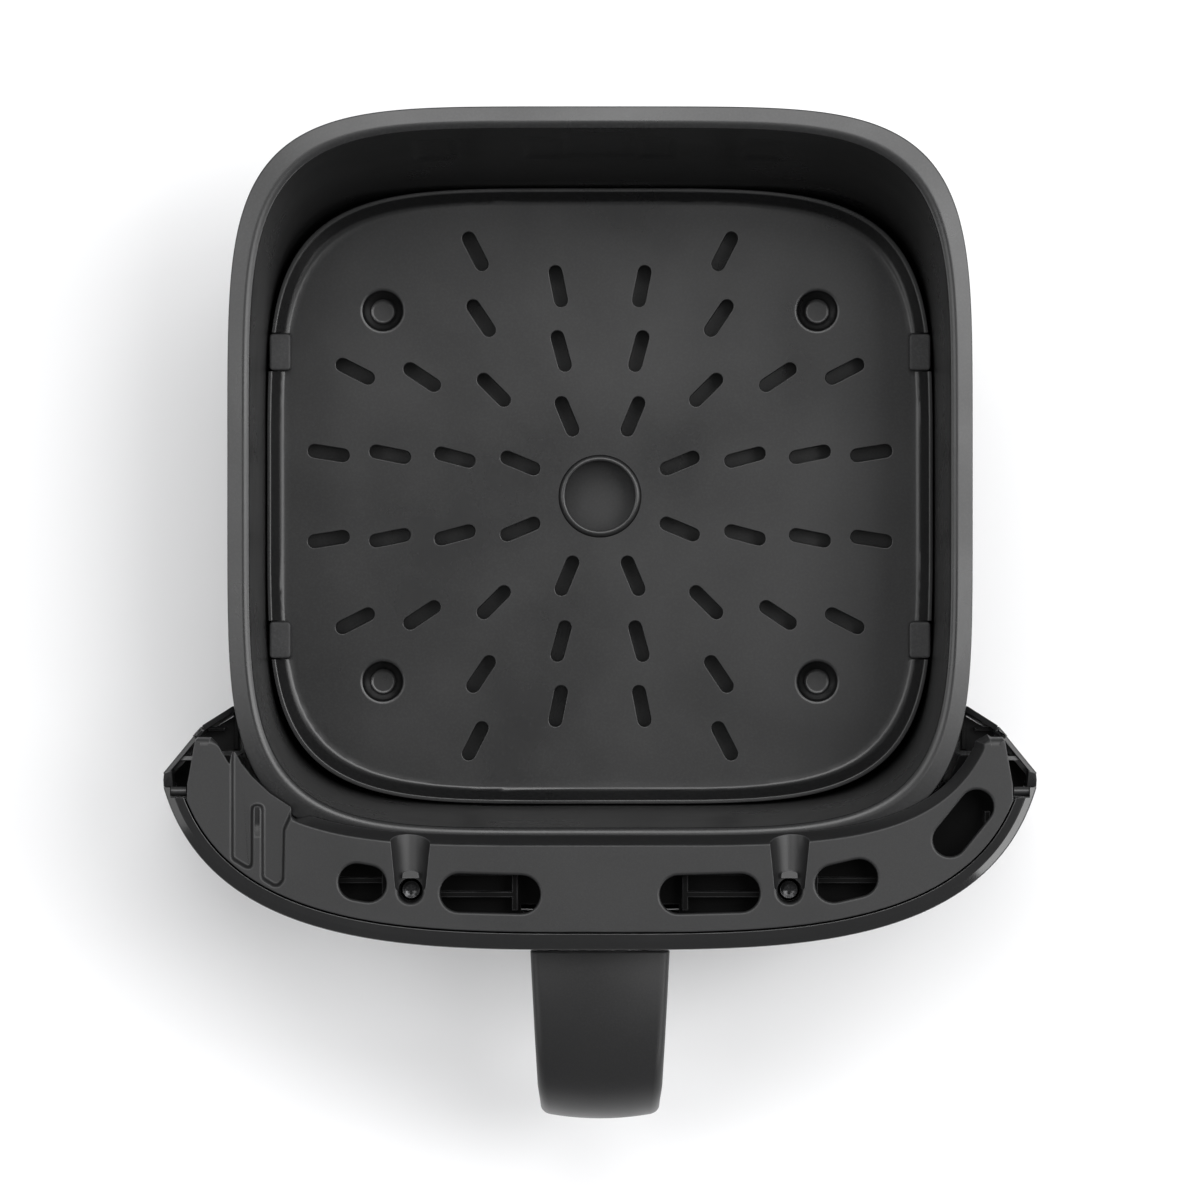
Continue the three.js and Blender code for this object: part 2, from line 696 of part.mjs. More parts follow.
function panBracket() {
  const sheet = 1.5;
  const back = -108.4;
  const high = WEB.low - GAP;
  const plate = box(-66, 66, back, back - sheet, 58, high);
  const tabs = [-1, 1].map((s) => box(s * (WELL.x - 8), s * (WELL.x + 8), back, -132, high - sheet, high));
  const pads = [-1, 1].flatMap((s) => [box(s * 26, s * 44, -103, back - 0.5, 62, 92)]);
  const clear = loft(panSkin(PAN_SHEET + GAP, -GAP, LIP_HEM));
  const holes = [-1, 1].map((s) => shaft(s * WELL.x, WELL.y, high - 3, high + 1, 2.1));
  return cut(join(plate, ...tabs, ...pads), clear, ...holes);
}

function heatShield() {
  const [left, right] = frontSpan(SHIELD, -92);
  return sweep(superFrames(SHIELD, left, right, 24), () => wallSection(0, SHIELD_SHEET, 12, 93));
}

function crossScrew({ x, y, top, headR, head, shankR, length }) {
  const body = join(
    shaft(x, y, top - head, top, headR),
    shaft(x, y, top - head - length, top - head + 0.1, shankR),
  );
  return cut(
    body,
    box(x - headR * 0.6, x + headR * 0.6, y - 0.45, y + 0.45, top - 1, top + 1),
    box(x - 0.45, x + 0.45, y - headR * 0.6, y + headR * 0.6, top - 1, top + 1),
  );
}

function housingScrew(s) {
  const head = 2.6;
  return crossScrew({
    x: s * WELL.x,
    y: WELL.y,
    top: WELL.seat + GAP + head,
    headR: 3.3,
    head,
    shankR: 1.9,
    length: 12,
  });
}

// The base cover's screws point up: each is a cross screw turned over.
function baseScrew({ x, y }) {
  const head = 1.8;
  const seat = BASE.low + 1.2 - GAP;
  const screw = crossScrew({ x: 0, y: 0, top: head, headR: 3.5, head, shankR: 1.5, length: 12 });
  return screw.rotate([180, 0, 0]).translate([x, y, seat]);
}

// ---------------------------------------------------------------- handle

// Frames along the handle's outer face, from the root over the curve and down to its end.
function handleFrames(lead = 0) {
  const X = new THREE.Vector3(1, 0, 0);
  const frames = [];
  const { rootY, topZ, reach, drop, n, endZ } = HANDLE;
  const curve = { a: reach, b: drop, n, y: 0 };
  const CURVE_STEPS = 18;
  if (lead > 0) {
    frames.push({ origin: new THREE.Vector3(0, rootY + lead, topZ), u: X, v: new THREE.Vector3(0, 0, 1) });
  }
  for (let i = 0; i <= CURVE_STEPS; i++) {
    const { point, normal } = onSuper(curve, (Math.PI / 2) * (1 - i / CURVE_STEPS));
    frames.push({
      origin: new THREE.Vector3(0, rootY - point.x, topZ - drop + point.y),
      u: X,
      v: new THREE.Vector3(0, -normal.x, normal.y),
    });
  }
  const low = topZ - drop - endZ;
  const TAIL_STEPS = 3;
  for (let i = 1; i <= TAIL_STEPS; i++) {
    const t = i / TAIL_STEPS;
    const lean = 0.16 * t;
    frames.push({
      origin: new THREE.Vector3(0, rootY - reach + 1.4 * t * t, topZ - drop - low * t),
      u: X,
      v: new THREE.Vector3(0, -Math.cos(lean), -Math.sin(lean)),
    });
  }
  return frames;
}

function handleHalf(t) {
  return THREE.MathUtils.lerp(HANDLE_HALF.root, HANDLE_HALF.end, t);
}

function outerShellSection(t) {
  const w = handleHalf(t);
  const right = [
    [w, -HANDLE_SEAM],
    [w, -3.6],
    [w - 0.7, -2.2],
    [w - 2.4, -1.1],
    [w * 0.5, -0.25],
  ];
  return [...right, [0, 0], ...mirrorX(right).reverse()];
}

function innerShellSection(t) {
  const w = handleHalf(t);
  const seam = -HANDLE_SEAM - GAP;
  const right = [
    [CORE_HALF + 0.4, seam - 4.7],
    [CORE_HALF + 0.4, seam],
    [w, seam],
    [w, -HANDLE_THICK + 3.6],
    [w - 1.2, -HANDLE_THICK + 1.2],
    [w - 4, -HANDLE_THICK],
  ];
  return [...right, ...mirrorX(right).reverse()];
}

function handleOuterShell() {
  return sweep(handleFrames(), outerShellSection);
}

function handleInnerShell() {
  const { x, z } = HANDLE_SCREW;
  const holes = [-x, x].map((at) => shaftY(at, z, HANDLE.rootY - 11, HANDLE.rootY + 1, 2.1));
  return cut(sweep(handleFrames(), innerShellSection), ...holes);
}

// A steel bar in the handle, with a flange that stands behind the frame's front wall.
function handleCore() {
  const frames = handleFrames(8).slice(0, -7);
  const top = -HANDLE_SEAM - 2 * GAP;
  const bar = sweep(frames, () => [
    [CORE_HALF, top],
    [-CORE_HALF, top],
    [-CORE_HALF, top - 3.8],
    [CORE_HALF, top - 3.8],
  ]);
  const flange = box(-20, 20, -133.6, -136.8, 92.5, 109.5);
  const { x, z } = HANDLE_SCREW;
  return cut(join(bar, flange), ...[-x, x].map((at) => shaftY(at, z, -138, -133, 2.1)));
}

function handleScrew(s) {
  const { x, z, r, headR } = HANDLE_SCREW;
  return join(shaftY(s * x, z, -133.3, -130.9, headR), shaftY(s * x, z, HANDLE.rootY - 9, -133.2, r));
}

// ---------------------------------------------------------------- materials and assembly

function material(color, roughness, metalness) {
  return new THREE.MeshStandardMaterial({ color, roughness, metalness });
}

const nonStick = material(0x202124, 0.35, 0.4);
const satinPlastic = material(0x3c3d3f, 0.55, 0);
const darkPlastic = material(0x26272a, 0.5, 0);
const glossPlastic = material(0x1c1d1f, 0.25, 0);
const steel = material(0x8d9094, 0.35, 0.9);
const silicone = material(0x2b2b2d, 0.8, 0);

const drawer = new THREE.Group();

function addPiece(name, body, look) {
  const made = body.getMesh();
  const g = new THREE.BufferGeometry();
  g.setAttribute("position", new THREE.BufferAttribute(new Float32Array(made.vertProperties), 3));
  g.setIndex(new THREE.BufferAttribute(new Uint32Array(made.triVerts), 1));
  const mesh = new THREE.Mesh(g, look);
  mesh.name = name;
  drawer.add(mesh);
}

addPiece("pan", pan(), nonStick);
addPiece("crisper_plate", crisperPlate(), nonStick);
for (const [side, sx] of [["left", -1], ["right", 1]]) {
  for (const [end, sy] of [["front", -1], ["back", 1]]) {
    addPiece(`plate_bumper_${side}_${end}`, plateBumper(sx, sy), silicone);
  }
}
addPiece("pan_bracket", panBracket(), steel);
addPiece("heat_shield", heatShield(), steel);
addPiece("inner_frame", innerFrame(), darkPlastic);
addPiece("top_cover", topCover(), satinPlastic);
addPiece("front_fascia", frontFascia(), glossPlastic);
addPiece("base_cover", baseCover(), darkPlastic);
addPiece("left_end_cap", rightEndCap().mirror([1, 0, 0]), darkPlastic);
addPiece("right_end_cap", rightEndCap(), darkPlastic);
addPiece("housing_screw_left", housingScrew(-1), steel);
addPiece("housing_screw_right", housingScrew(1), steel);
addPiece("handle_outer_shell", handleOuterShell(), glossPlastic);
addPiece("handle_inner_shell", handleInnerShell(), darkPlastic);
addPiece("handle_core", handleCore(), steel);
addPiece("handle_screw_left", handleScrew(-1), steel);
addPiece("handle_screw_right", handleScrew(1), steel);
for (const spot of baseScrewSpots()) {
  addPiece(`base_screw_${spot.name}`, baseScrew(spot), steel);
}

export default drawer;
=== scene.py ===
"""Looks of the air fryer drawer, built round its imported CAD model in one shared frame.

Outlines and profiles are in millimetres and become metres when a mesh is made. +Z is up, the origin is the
middle of the pan's flat underside, and the handle points towards -Y.
"""

import math

import bmesh
import bpy
import numpy as np
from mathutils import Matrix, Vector


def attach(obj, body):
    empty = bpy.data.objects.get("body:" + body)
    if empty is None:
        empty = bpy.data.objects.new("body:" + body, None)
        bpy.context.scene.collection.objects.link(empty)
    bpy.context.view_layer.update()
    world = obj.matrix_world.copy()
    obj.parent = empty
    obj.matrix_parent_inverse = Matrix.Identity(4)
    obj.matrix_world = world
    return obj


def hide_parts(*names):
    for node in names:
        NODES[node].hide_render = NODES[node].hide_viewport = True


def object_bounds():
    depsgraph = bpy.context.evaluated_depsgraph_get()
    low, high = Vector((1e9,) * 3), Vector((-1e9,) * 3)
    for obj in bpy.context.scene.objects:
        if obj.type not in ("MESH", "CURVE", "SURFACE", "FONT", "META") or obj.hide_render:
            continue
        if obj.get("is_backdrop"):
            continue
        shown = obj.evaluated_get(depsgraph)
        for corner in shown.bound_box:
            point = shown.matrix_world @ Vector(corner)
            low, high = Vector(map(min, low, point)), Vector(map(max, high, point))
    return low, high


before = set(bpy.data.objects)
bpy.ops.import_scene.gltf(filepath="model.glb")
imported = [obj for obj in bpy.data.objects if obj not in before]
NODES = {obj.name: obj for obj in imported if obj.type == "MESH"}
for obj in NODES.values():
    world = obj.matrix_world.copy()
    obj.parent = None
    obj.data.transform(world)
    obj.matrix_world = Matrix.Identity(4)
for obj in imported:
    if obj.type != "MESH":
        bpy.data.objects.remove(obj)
CAD_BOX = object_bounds()

MM = 0.001
RING = 300  # points round a full superellipse
CREASE = 32  # edges that turn more than this, in degrees, are shaded sharp
FLAT_ANGLE = math.radians(0.2)  # faces that turn less than this are merged after a cut

# ------------ main dimensions, in millimetres

COVER_TOP = 118
COVER_FRONT_END_Y = -99.5  # where the cover's front curve ends, on both sides
COVER_REAR_END_Y = -81.8  # where its rear curve ends
BAND_TOP = 117.6
BAND = 5  # width of the fascia's top edge, in plan
FASCIA_END_Y = -93.6  # the fascia is cut square here, on both sides
GROOVE = 0.45  # gap between the cover and the fascia

FRONT = dict(a=136.1, b=95.66, n=3.27, y=-47.16)
COVER_REAR = dict(a=123.8, b=110.9, n=4.5, y=0)
PLATE = dict(a=104.06, b=96.25, n=4.5, y=-4.47)

WELL = dict(x=57.3, y=-124.8, r=3.75, wall=2.2, bore=2.2, seat=103.3, bottom=100.8)
CHANNEL = dict(front_y=-124, front_r=4.6, rear_y=-109.5, rear_r=5.95, wall=1.3)
SKIRT_BITE = 0.5  # how far inside the skirt's outer face the funnel's shell ends
HANDLE = dict(root_y=-143.4, top=106, reach=53, drop=44, n=3, end=44.2, half=21.2, taper=2.1, taper_end=42.4)


# ------------ outlines

def super_points(angle, a, b, n, y):
    """Points on a superellipse in the given directions from its middle."""
    c, s = np.cos(angle), np.sin(angle)
    r = (np.abs(c / a) ** n + np.abs(s / b) ** n) ** (-1 / n)
    return np.stack([r * c, y + r * s], 1)


def super_ring(a, b, n, y, count=RING):
    """Points round a superellipse, counter-clockwise, evenly spaced in direction."""
    return super_points(np.arange(count) * (2 * math.pi / count), a, b, n, y)


def super_arc(curve, end_y, count):
    """The part of a superellipse below end_y, from its left end round the front to its right end."""
    a, b, n, y = (curve[key] for key in "abny")
    side = a * (1 - (abs(end_y - y) / b) ** n) ** (1 / n)
    right = math.atan2(end_y - y, side)
    return super_points(np.linspace(-math.pi - right, right, count), a, b, n, y)


def super_normal(curve, points):
    """Outward unit normals of a superellipse at points on it."""
    a, b, n, y = (curve[key] for key in "abny")
    x = points[:, 0] / a
    v = (points[:, 1] - y) / b
    normal = np.stack([np.sign(x) * np.abs(x) ** (n - 1) / a, np.sign(v) * np.abs(v) ** (n - 1) / b], 1)
    return normal / np.linalg.norm(normal, axis=1)[:, None]


def offset(outline, distance):
    """A closed counter-clockwise outline moved outwards. distance is one number or one for each point."""
    p = np.asarray(outline, float)
    before = p - np.roll(p, 1, 0)
    after = np.roll(p, -1, 0) - p
    n1 = np.stack([before[:, 1], -before[:, 0]], 1)
    n2 = np.stack([after[:, 1], -after[:, 0]], 1)
    n1 /= np.linalg.norm(n1, axis=1)[:, None]
    n2 /= np.linalg.norm(n2, axis=1)[:, None]
    mitre = (n1 + n2) / np.maximum(0.5, 1 + (n1 * n2).sum(1))[:, None]
    return p + mitre * np.broadcast_to(distance, len(p))[:, None]


def rounded(corners, radius, steps=5):
    """A closed outline with its corners rounded. radius is one number or one for each corner."""
    p = np.asarray(corners, float)
    radii = np.broadcast_to(radius, len(p))
    points = []
    for i, here in enumerate(p):
        to_last = p[i - 1] - here
        to_next = p[(i + 1) % len(p)] - here
        last_length, next_length = np.linalg.norm(to_last), np.linalg.norm(to_next)
        to_last, to_next = to_last / last_length, to_next / next_length
        half = math.acos(float(np.clip(to_last @ to_next, -1, 1))) / 2
        reach = min(radii[i] / max(math.tan(half), 1e-6), last_length * 0.48, next_length * 0.48)
        nearly_straight = half > 1.55
        if reach < 1e-4 or nearly_straight:
            points.append(here)
            continue
        start, end = here + to_last * reach, here + to_next * reach
        for t in np.linspace(0, 1, steps + 1):
            points.append((1 - t) ** 2 * start + 2 * t * (1 - t) * here + t * t * end)
    return np.array(points)


def stadium(x, y, length, width, turn, steps=14):
    """A slot with round ends, counter-clockwise. turn is in degrees."""
    r = width / 2
    reach = length / 2 - r
    points = []
    for side in (1, -1):
        for t in np.linspace(-math.pi / 2, math.pi / 2, steps + 1):
            points.append((side * (reach + r * math.cos(t)), side * r * math.sin(t)))
    c, s = math.cos(math.radians(turn)), math.sin(math.radians(turn))
    return np.array([(x + c * u - s * v, y + s * u + c * v) for u, v in points])


def at_height(outline, z):
    """An outline as 3-D points. z is one height or one for each point."""
    return np.column_stack([outline, np.broadcast_to(z, len(outline))])


def arc(cx, cy, r, start, end, steps):
    """Points on a circle in a section, from one angle in degrees to another."""
    return [
        (cx + r * math.cos(t), cy + r * math.sin(t))
        for t in np.radians(np.linspace(start, end, steps + 1))
    ]


def smoothstep(t):
    t = np.clip(t, 0, 1)
    return t * t * (3 - 2 * t)


def on_side(side, inner, outer):
    """The x range from inner to outer on the right (side 1) or the left (side -1), lowest first."""
    return sorted((side * inner, side * outer))


# ------------ meshes

def link(name, mesh, look):
    obj = bpy.data.objects.new(name, mesh)
    bpy.context.scene.collection.objects.link(obj)
    if look:
        mesh.materials.append(look)
    return obj


def finish_mesh(mesh, crease, merge_flat=False):
    """Welds the mesh, turns its faces outwards and shades it smooth up to the crease angle."""
    bm = bmesh.new()
    bm.from_mesh(mesh)
    bmesh.ops.remove_doubles(bm, verts=bm.verts, dist=2e-7)
    bmesh.ops.dissolve_degenerate(bm, edges=bm.edges, dist=1e-7)
    if merge_flat:
        bmesh.ops.dissolve_limit(bm, angle_limit=FLAT_ANGLE, verts=bm.verts, edges=bm.edges)
    bmesh.ops.recalc_face_normals(bm, faces=bm.faces)
    bm.to_mesh(mesh)
    bm.free()
    mesh.shade_smooth()
    mesh.set_sharp_from_angle(angle=math.radians(crease))


def make_mesh(name, points, faces, look=None, crease=CREASE):
    mesh = bpy.data.meshes.new(name)
    mesh.from_pydata([tuple(np.asarray(p, float) * MM) for p in points], [], faces)
    finish_mesh(mesh, crease)
    return link(name, mesh, look)


def stack(name, loops, look=None, crease=CREASE):
    """A skin over closed loops of equally many points, capped at both ends."""
    count = len(loops[0])
    points = np.concatenate(loops)
    last = len(points) - count
    faces = []
    for a in range(0, last, count):
        b = a + count
        for j in range(count):
            k = (j + 1) % count
            faces.append((a + j, a + k, b + k, b + j))
    faces.append(tuple(reversed(range(count))))
    faces.append(tuple(range(last, last + count)))
    return make_mesh(name, points, faces, look, crease)


def profiled(name, outline, profile, look=None):
    """A solid over an outline. profile lists (outward offset, height) from one cap to the other."""
    return stack(name, [at_height(offset(outline, d), z) for d, z in profile], look)


def sweep(name, origins, across, up, section, look=None, crease=CREASE):
    """A closed section carried along points. section(t) lists (across, up) for a share t of the way."""
    loops = []
    last = len(origins) - 1
    for i, (o, u, v) in enumerate(zip(origins, across, up)):
        loops.append(np.array([o + u * s + v * t for s, t in section(i / last)]))
    return stack(name, loops, look, crease)


def lathe(name, profile, centre, steps=48, look=None):
    """A solid of (radius, height) points turned about an upright axis through centre."""
    angle = np.arange(steps) * (2 * math.pi / steps)
    c, s = np.cos(angle), np.sin(angle)
    loops = [np.stack([centre[0] + r * c, centre[1] + r * s, np.full(steps, z)], 1) for r, z in profile]
    return stack(name, loops, look)


def block(name, x0, x1, y0, y1, z0, z1, edge=0.25):
    """A block with chamfered upright edges and top, given by its corners."""
    outline = rounded([(x0, y0), (x1, y0), (x1, y1), (x0, y1)], edge * 1.6, 3)
    return profiled(name, outline, [(0, z0), (0, z1 - edge), (-edge * 0.3, z1 - edge * 0.3), (-edge, z1)])


def boolean(obj, tools, operation):
    """Cuts tools from obj, or joins them to it, and removes the tools."""
    for tool in tools:
        change = obj.modifiers.new(operation.lower(), "BOOLEAN")
        change.operation = operation
        change.solver = "MANIFOLD"
        change.object = tool
    depsgraph = bpy.context.evaluated_depsgraph_get()
    mesh = bpy.data.meshes.new_from_object(obj.evaluated_get(depsgraph))
    obj.modifiers.clear()
    old = obj.data
    obj.data = mesh
    mesh.name = old.name
    bpy.data.meshes.remove(old)
    for tool in tools:
        data = tool.data
        bpy.data.objects.remove(tool)
        bpy.data.meshes.remove(data)
    finish_mesh(mesh, CREASE, merge_flat=True)
    return obj


def cut(obj, *tools):
    return boolean(obj, tools, "DIFFERENCE")


def unite(obj, *tools):
    return boolean(obj, tools, "UNION")


def place(obj, body, slot, *nodes):
    """Puts a finished piece on its body and hides the CAD nodes it stands for."""
    steady = obj.modifiers.new("flat faces stay flat", "WEIGHTED_NORMAL")
    steady.keep_sharp = True
    steady.weight = 80
    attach(obj, body)
    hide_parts(*nodes)
    return obj


# ------------ materials

class Look:
    """A procedural material: grain, drifting colour and roughness, and paler edges that stand for wear and,
    on some looks, for a painted highlight.
    """

    def __init__(self, name, base, roughness, metallic=0.0):
        self.material = bpy.data.materials.new(name)
        self.material.use_nodes = True
        self.tree = self.material.node_tree
        self.shader = self.tree.nodes["Principled BSDF"]
        self.shader.inputs["Metallic"].default_value = metallic
        self.base = base
        self.roughness = roughness
        self.coordinates = self.add("ShaderNodeTexCoord").outputs["Object"]
        self.bump = None

    def add(self, kind, inputs=None, **settings):
        node = self.tree.nodes.new(kind)
        for name, value in settings.items():
            setattr(node, name, value)
        for name, value in (inputs or {}).items():
            node.inputs[name].default_value = value
        return node

    def join(self, source, target):
        self.tree.links.new(source, target)

    def noise(self, per_metre, detail=3.0, roughness=0.5, stretch=None):
        inputs = {"Scale": per_metre, "Detail": detail, "Roughness": roughness}
        node = self.add("ShaderNodeTexNoise", inputs)
        source = self.coordinates
        if stretch:
            mapping = self.add("ShaderNodeMapping", {"Scale": stretch})
            self.join(source, mapping.inputs["Vector"])
            source = mapping.outputs["Vector"]
        self.join(source, node.inputs["Vector"])
        return node.outputs["Fac"]

    def remap(self, source, low, high, to_low, to_high):
        inputs = {"From Min": low, "From Max": high, "To Min": to_low, "To Max": to_high}
        node = self.add("ShaderNodeMapRange", inputs)
        self.join(source, node.inputs["Value"])
        return node.outputs["Result"]

    def mix(self, share, first, second):
        node = self.add("ShaderNodeMix", data_type="RGBA")
        self.join(share, node.inputs["Factor"])
        for value, socket in ((first, node.inputs["A"]), (second, node.inputs["B"])):
            if isinstance(value, tuple):
                socket.default_value = (*value, 1)
            else:
                self.join(value, socket)
        return node.outputs["Result"]

    def shade(self, factor):
        return tuple(c * factor for c in self.base)

    def colours(self, drift=0.12, speckle=0.2, drift_scale=18, speckle_scale=1800, stretch=None):
        """Slow drift of the base colour with fine speckle over it."""
        slow = self.remap(self.noise(drift_scale, 4), 0.3, 0.7, 0, 1)
        fine = self.remap(self.noise(speckle_scale, 2, stretch=stretch), 0.42, 0.72, 0, 1)
        drifted = self.mix(slow, self.shade(1 - drift), self.shade(1 + drift))
        self.colour = self.mix(fine, drifted, self.shade(1 + speckle + drift))
        return self

    def roughen(self, spread=0.08, scale=30):
        rough = self.remap(self.noise(scale, 5), 0.3, 0.7, self.roughness - spread, self.roughness + spread)
        self.join(rough, self.shader.inputs["Roughness"])
        return self

    def grain(self, per_metre, height, detail=2.0, stretch=None):
        """Bump of a grain with that many cells in a metre and that height in metres."""
        node = self.add("ShaderNodeBump", {"Strength": 1.0, "Distance": height})
        self.join(self.noise(per_metre, detail, stretch=stretch), node.inputs["Height"])
        if self.bump is not None:
            self.join(self.bump, node.inputs["Normal"])
        self.bump = node.outputs["Normal"]
        self.join(self.bump, self.shader.inputs["Normal"])
        return self

    def soft_edges(self, radius):
        """Rounds the shading of edges whose true radius is too small to model."""
        node = self.add("ShaderNodeBevel", {"Radius": radius}, samples=6)
        self.bump = node.outputs["Normal"]
        self.join(self.bump, self.shader.inputs["Normal"])
        return self

    def edge_wear_and_highlight(self, pale, radius=0.0006, strength=0.5, break_scale=260):
        """Paler colour along convex edges, broken up by noise: worn edges, and on some looks a painted
        highlight along them.
        """
        bevel = self.add("ShaderNodeBevel", {"Radius": radius}, samples=4)
        geometry = self.add("ShaderNodeNewGeometry")
        dot = self.add("ShaderNodeVectorMath", operation="DOT_PRODUCT")
        self.join(bevel.outputs["Normal"], dot.inputs[0])
        self.join(geometry.outputs["Normal"], dot.inputs[1])
        edge = self.remap(dot.outputs["Value"], 1.0, 0.86, 0, strength)
        broken = self.remap(self.noise(break_scale, 5, 0.6), 0.35, 0.65, 0.25, 1)
        product = self.add("ShaderNodeMath", operation="MULTIPLY")
        self.join(edge, product.inputs[0])
        self.join(broken, product.inputs[1])
        self.colour = self.mix(product.outputs["Value"], self.colour, pale)
        return self

    def done(self, **sockets):
        self.join(self.colour, self.shader.inputs["Base Color"])
        for name, value in sockets.items():
            self.shader.inputs[name.replace("_", " ")].default_value = value
        return self.material


def grey(level, blue=1.03):
    return (level, level * 1.003, level * blue)


LOOKS = {
    "cover": Look("cover_satin_plastic", grey(0.0105), 0.42)
    .colours(drift=0.06, speckle=0.35, speckle_scale=2300)
    .roughen(0.04, 40)
    .soft_edges(0.00018)
    .grain(2600, 0.000012)
    .edge_wear_and_highlight(grey(0.15), 0.0004, 0.6)
    .done(Specular_IOR_Level=0.4),
    "fascia": Look("fascia_gloss_plastic", grey(0.007), 0.12)
    .colours(drift=0.08, speckle=0.15, speckle_scale=1500)
    .roughen(0.04, 35)
    .soft_edges(0.0002)
    .grain(900, 0.000003)
    .edge_wear_and_highlight(grey(0.06), 0.0004, 0.4)
    .done(),
    # On the handle the pale edges stand for wear and, along the root's rounded edge, for a painted highlight.
    "handle": Look("handle_satin_plastic", grey(0.0125), 0.38)
    .colours(drift=0.08, speckle=0.2, speckle_scale=2000)
    .roughen(0.05, 30)
    .grain(2200, 0.000006)
    .edge_wear_and_highlight(grey(0.16), 0.0008, 0.55)
    .done(Specular_IOR_Level=0.26),
    # The inner frame's near-black colour is painted shade inside the housing, seen through the vent slots;
    # its pale edges are a painted highlight, glints along the rib edges.
    "frame": Look("frame_plastic_painted_shade", grey(0.0014), 0.42)
    .colours(drift=0.12, speckle=0.25, speckle_scale=1700)
    .roughen(0.06, 45)
    .soft_edges(0.00025)
    .grain(1800, 0.00001)
    .edge_wear_and_highlight(grey(0.1), 0.0005, 0.6, 90)
    .done(Specular_IOR_Level=0.06),
    "cap": Look("cap_satin_plastic", grey(0.012), 0.36)
    .colours(drift=0.1, speckle=0.25, speckle_scale=1900)
    .roughen(0.05, 45)
    .grain(2000, 0.000006)
    .edge_wear_and_highlight(grey(0.06), 0.0005, 0.4)
    .done(),
    "nonstick": Look("nonstick_coating", grey(0.008), 0.3)
    .colours(drift=0.15, speckle=0.6, speckle_scale=1400)
    .roughen(0.05, 24)
    .grain(650, 0.000006, 3)
    .edge_wear_and_highlight(grey(0.05), 0.0006, 0.35, 180)
    .done(),
    "steel": Look("rolled_steel", grey(0.5, 1.01), 0.36, 1.0)
    .colours(drift=0.1, speckle=0.12, speckle_scale=900, stretch=(1, 14, 14))
    .roughen(0.08, 50)
    .soft_edges(0.0002)
    .grain(700, 0.000004, 3, stretch=(1, 18, 18))
    .edge_wear_and_highlight((0.75, 0.75, 0.76), 0.0005, 0.5)
    .done(),
    # Near-black copy of the cap plastic for faces down inside the end caps: painted shade.
    "deep": Look("cap_plastic_painted_shade", grey(0.002), 0.5)
    .colours(drift=0.12, speckle=0.3, speckle_scale=1700)
    .roughen(0.05, 50)
    .grain(1600, 0.000006)
    .edge_wear_and_highlight(grey(0.01), 0.0004, 0.3)
    .done(Specular_IOR_Level=0.1),
    "coated_steel": Look("black_heat_coating", grey(0.006), 0.5)
    .colours(drift=0.12, speckle=0.4, speckle_scale=1200)
    .roughen(0.06, 60)
    .soft_edges(0.0002)
    .grain(900, 0.000006)
    .edge_wear_and_highlight(grey(0.04), 0.0004, 0.3)
    .done(Specular_IOR_Level=0.2),
    "screw": Look("zinc_plating", grey(0.42, 1.05), 0.3, 1.0)
    .colours(drift=0.15, speckle=0.2, speckle_scale=2600)
    .roughen(0.08, 300)
    .soft_edges(0.0001)
    .grain(3000, 0.000003)
    .edge_wear_and_highlight((0.7, 0.7, 0.72), 0.0003, 0.6, 900)
    .done(),
    # A much darker copy of the zinc-plated screw steel, for the screws down in the wells: painted shade.
    "shaded_screw": Look("zinc_plating_painted_shade", grey(0.035), 0.2, 1.0)
    .colours(drift=0.15, speckle=0.3, speckle_scale=2600)
    .roughen(0.08, 300)
    .soft_edges(0.0001)
    .grain(3000, 0.000003)
    .edge_wear_and_highlight(grey(0.1), 0.0003, 0.6, 900)
    .done(),
    "silicone": Look("silicone_rubber", grey(0.024), 0.62)
    .colours(drift=0.1, speckle=0.5, speckle_scale=1500)
    .roughen(0.06, 120)
    .grain(1500, 0.000012)
    .edge_wear_and_highlight(grey(0.06), 0.0005, 0.4, 500)
    .done(),
}


# ------------ pan

PAN_SHEET = 1.2
PAN_CORNER = 13
PAN_TOP = dict(z=108, half=106, front=106, back=106)
PAN_LOW = dict(z=19, half=104.6, front=101.2, back=92.3)
PAN_SQUARE = 5
LIP = dict(crest=108.3, outer=113, top=110, hem=106.5, tilt=12)
LIP_ROUND = dict(crest=3, crest_turn=35, inner=0.9, outer=0.45)  # radii, and the crest's turn in degrees

# Shallow marks pressed in the back wall: middle x, half width, lowest and highest z.
WALL_MARKS = [
    (-50.5, 5.8, 64, 92),
    (-17.2, 5.4, 64, 92),
    (0, 10.8, 66, 100),
    (17.2, 5.4, 64, 92),
    (50.5, 5.8, 64, 92),
]
MARK_DEPTH = 0.7
MARK_SIDE = 0.7  # half the run of a mark's soft edge at its sides
MARK_END = 1  # and at its ends
MARKED_FROM_Y = 60  # only the back wall has marks


def pan_curve(z, out):
    """The pan's outline at a height, moved outwards: a blend of its low and its top outline."""
    t = (z - PAN_LOW["z"]) / (PAN_TOP["z"] - PAN_LOW["z"])

    def reach(side):
        return PAN_LOW[side] + (PAN_TOP[side] - PAN_LOW[side]) * t + out

    front, back = reach("front"), reach("back")
    return dict(a=reach("half"), b=(front + back) / 2, n=PAN_SQUARE, y=(back - front) / 2)


def pan_loop(z, out, level=None):
    """One loop of the pan's wall. level is its height where that isn't the height of its outline."""
    outline = super_ring(**pan_curve(z, out), count=RING * 2)
    height = z if level is None else level
    depth = np.zeros(len(outline))
    for x, half, low, high in WALL_MARKS:
        side = smoothstep((half + MARK_SIDE - np.abs(outline[:, 0] - x)) / (2 * MARK_SIDE))
        above_low = smoothstep((height - low + MARK_END) / (2 * MARK_END))
        below_high = smoothstep((high + MARK_END - height) / (2 * MARK_END))
        depth = np.maximum(depth, side * float(above_low * below_high))
    outline[:, 1] += np.where(outline[:, 1] > MARKED_FROM_Y, depth * MARK_DEPTH, 0)
    return at_height(outline, height)


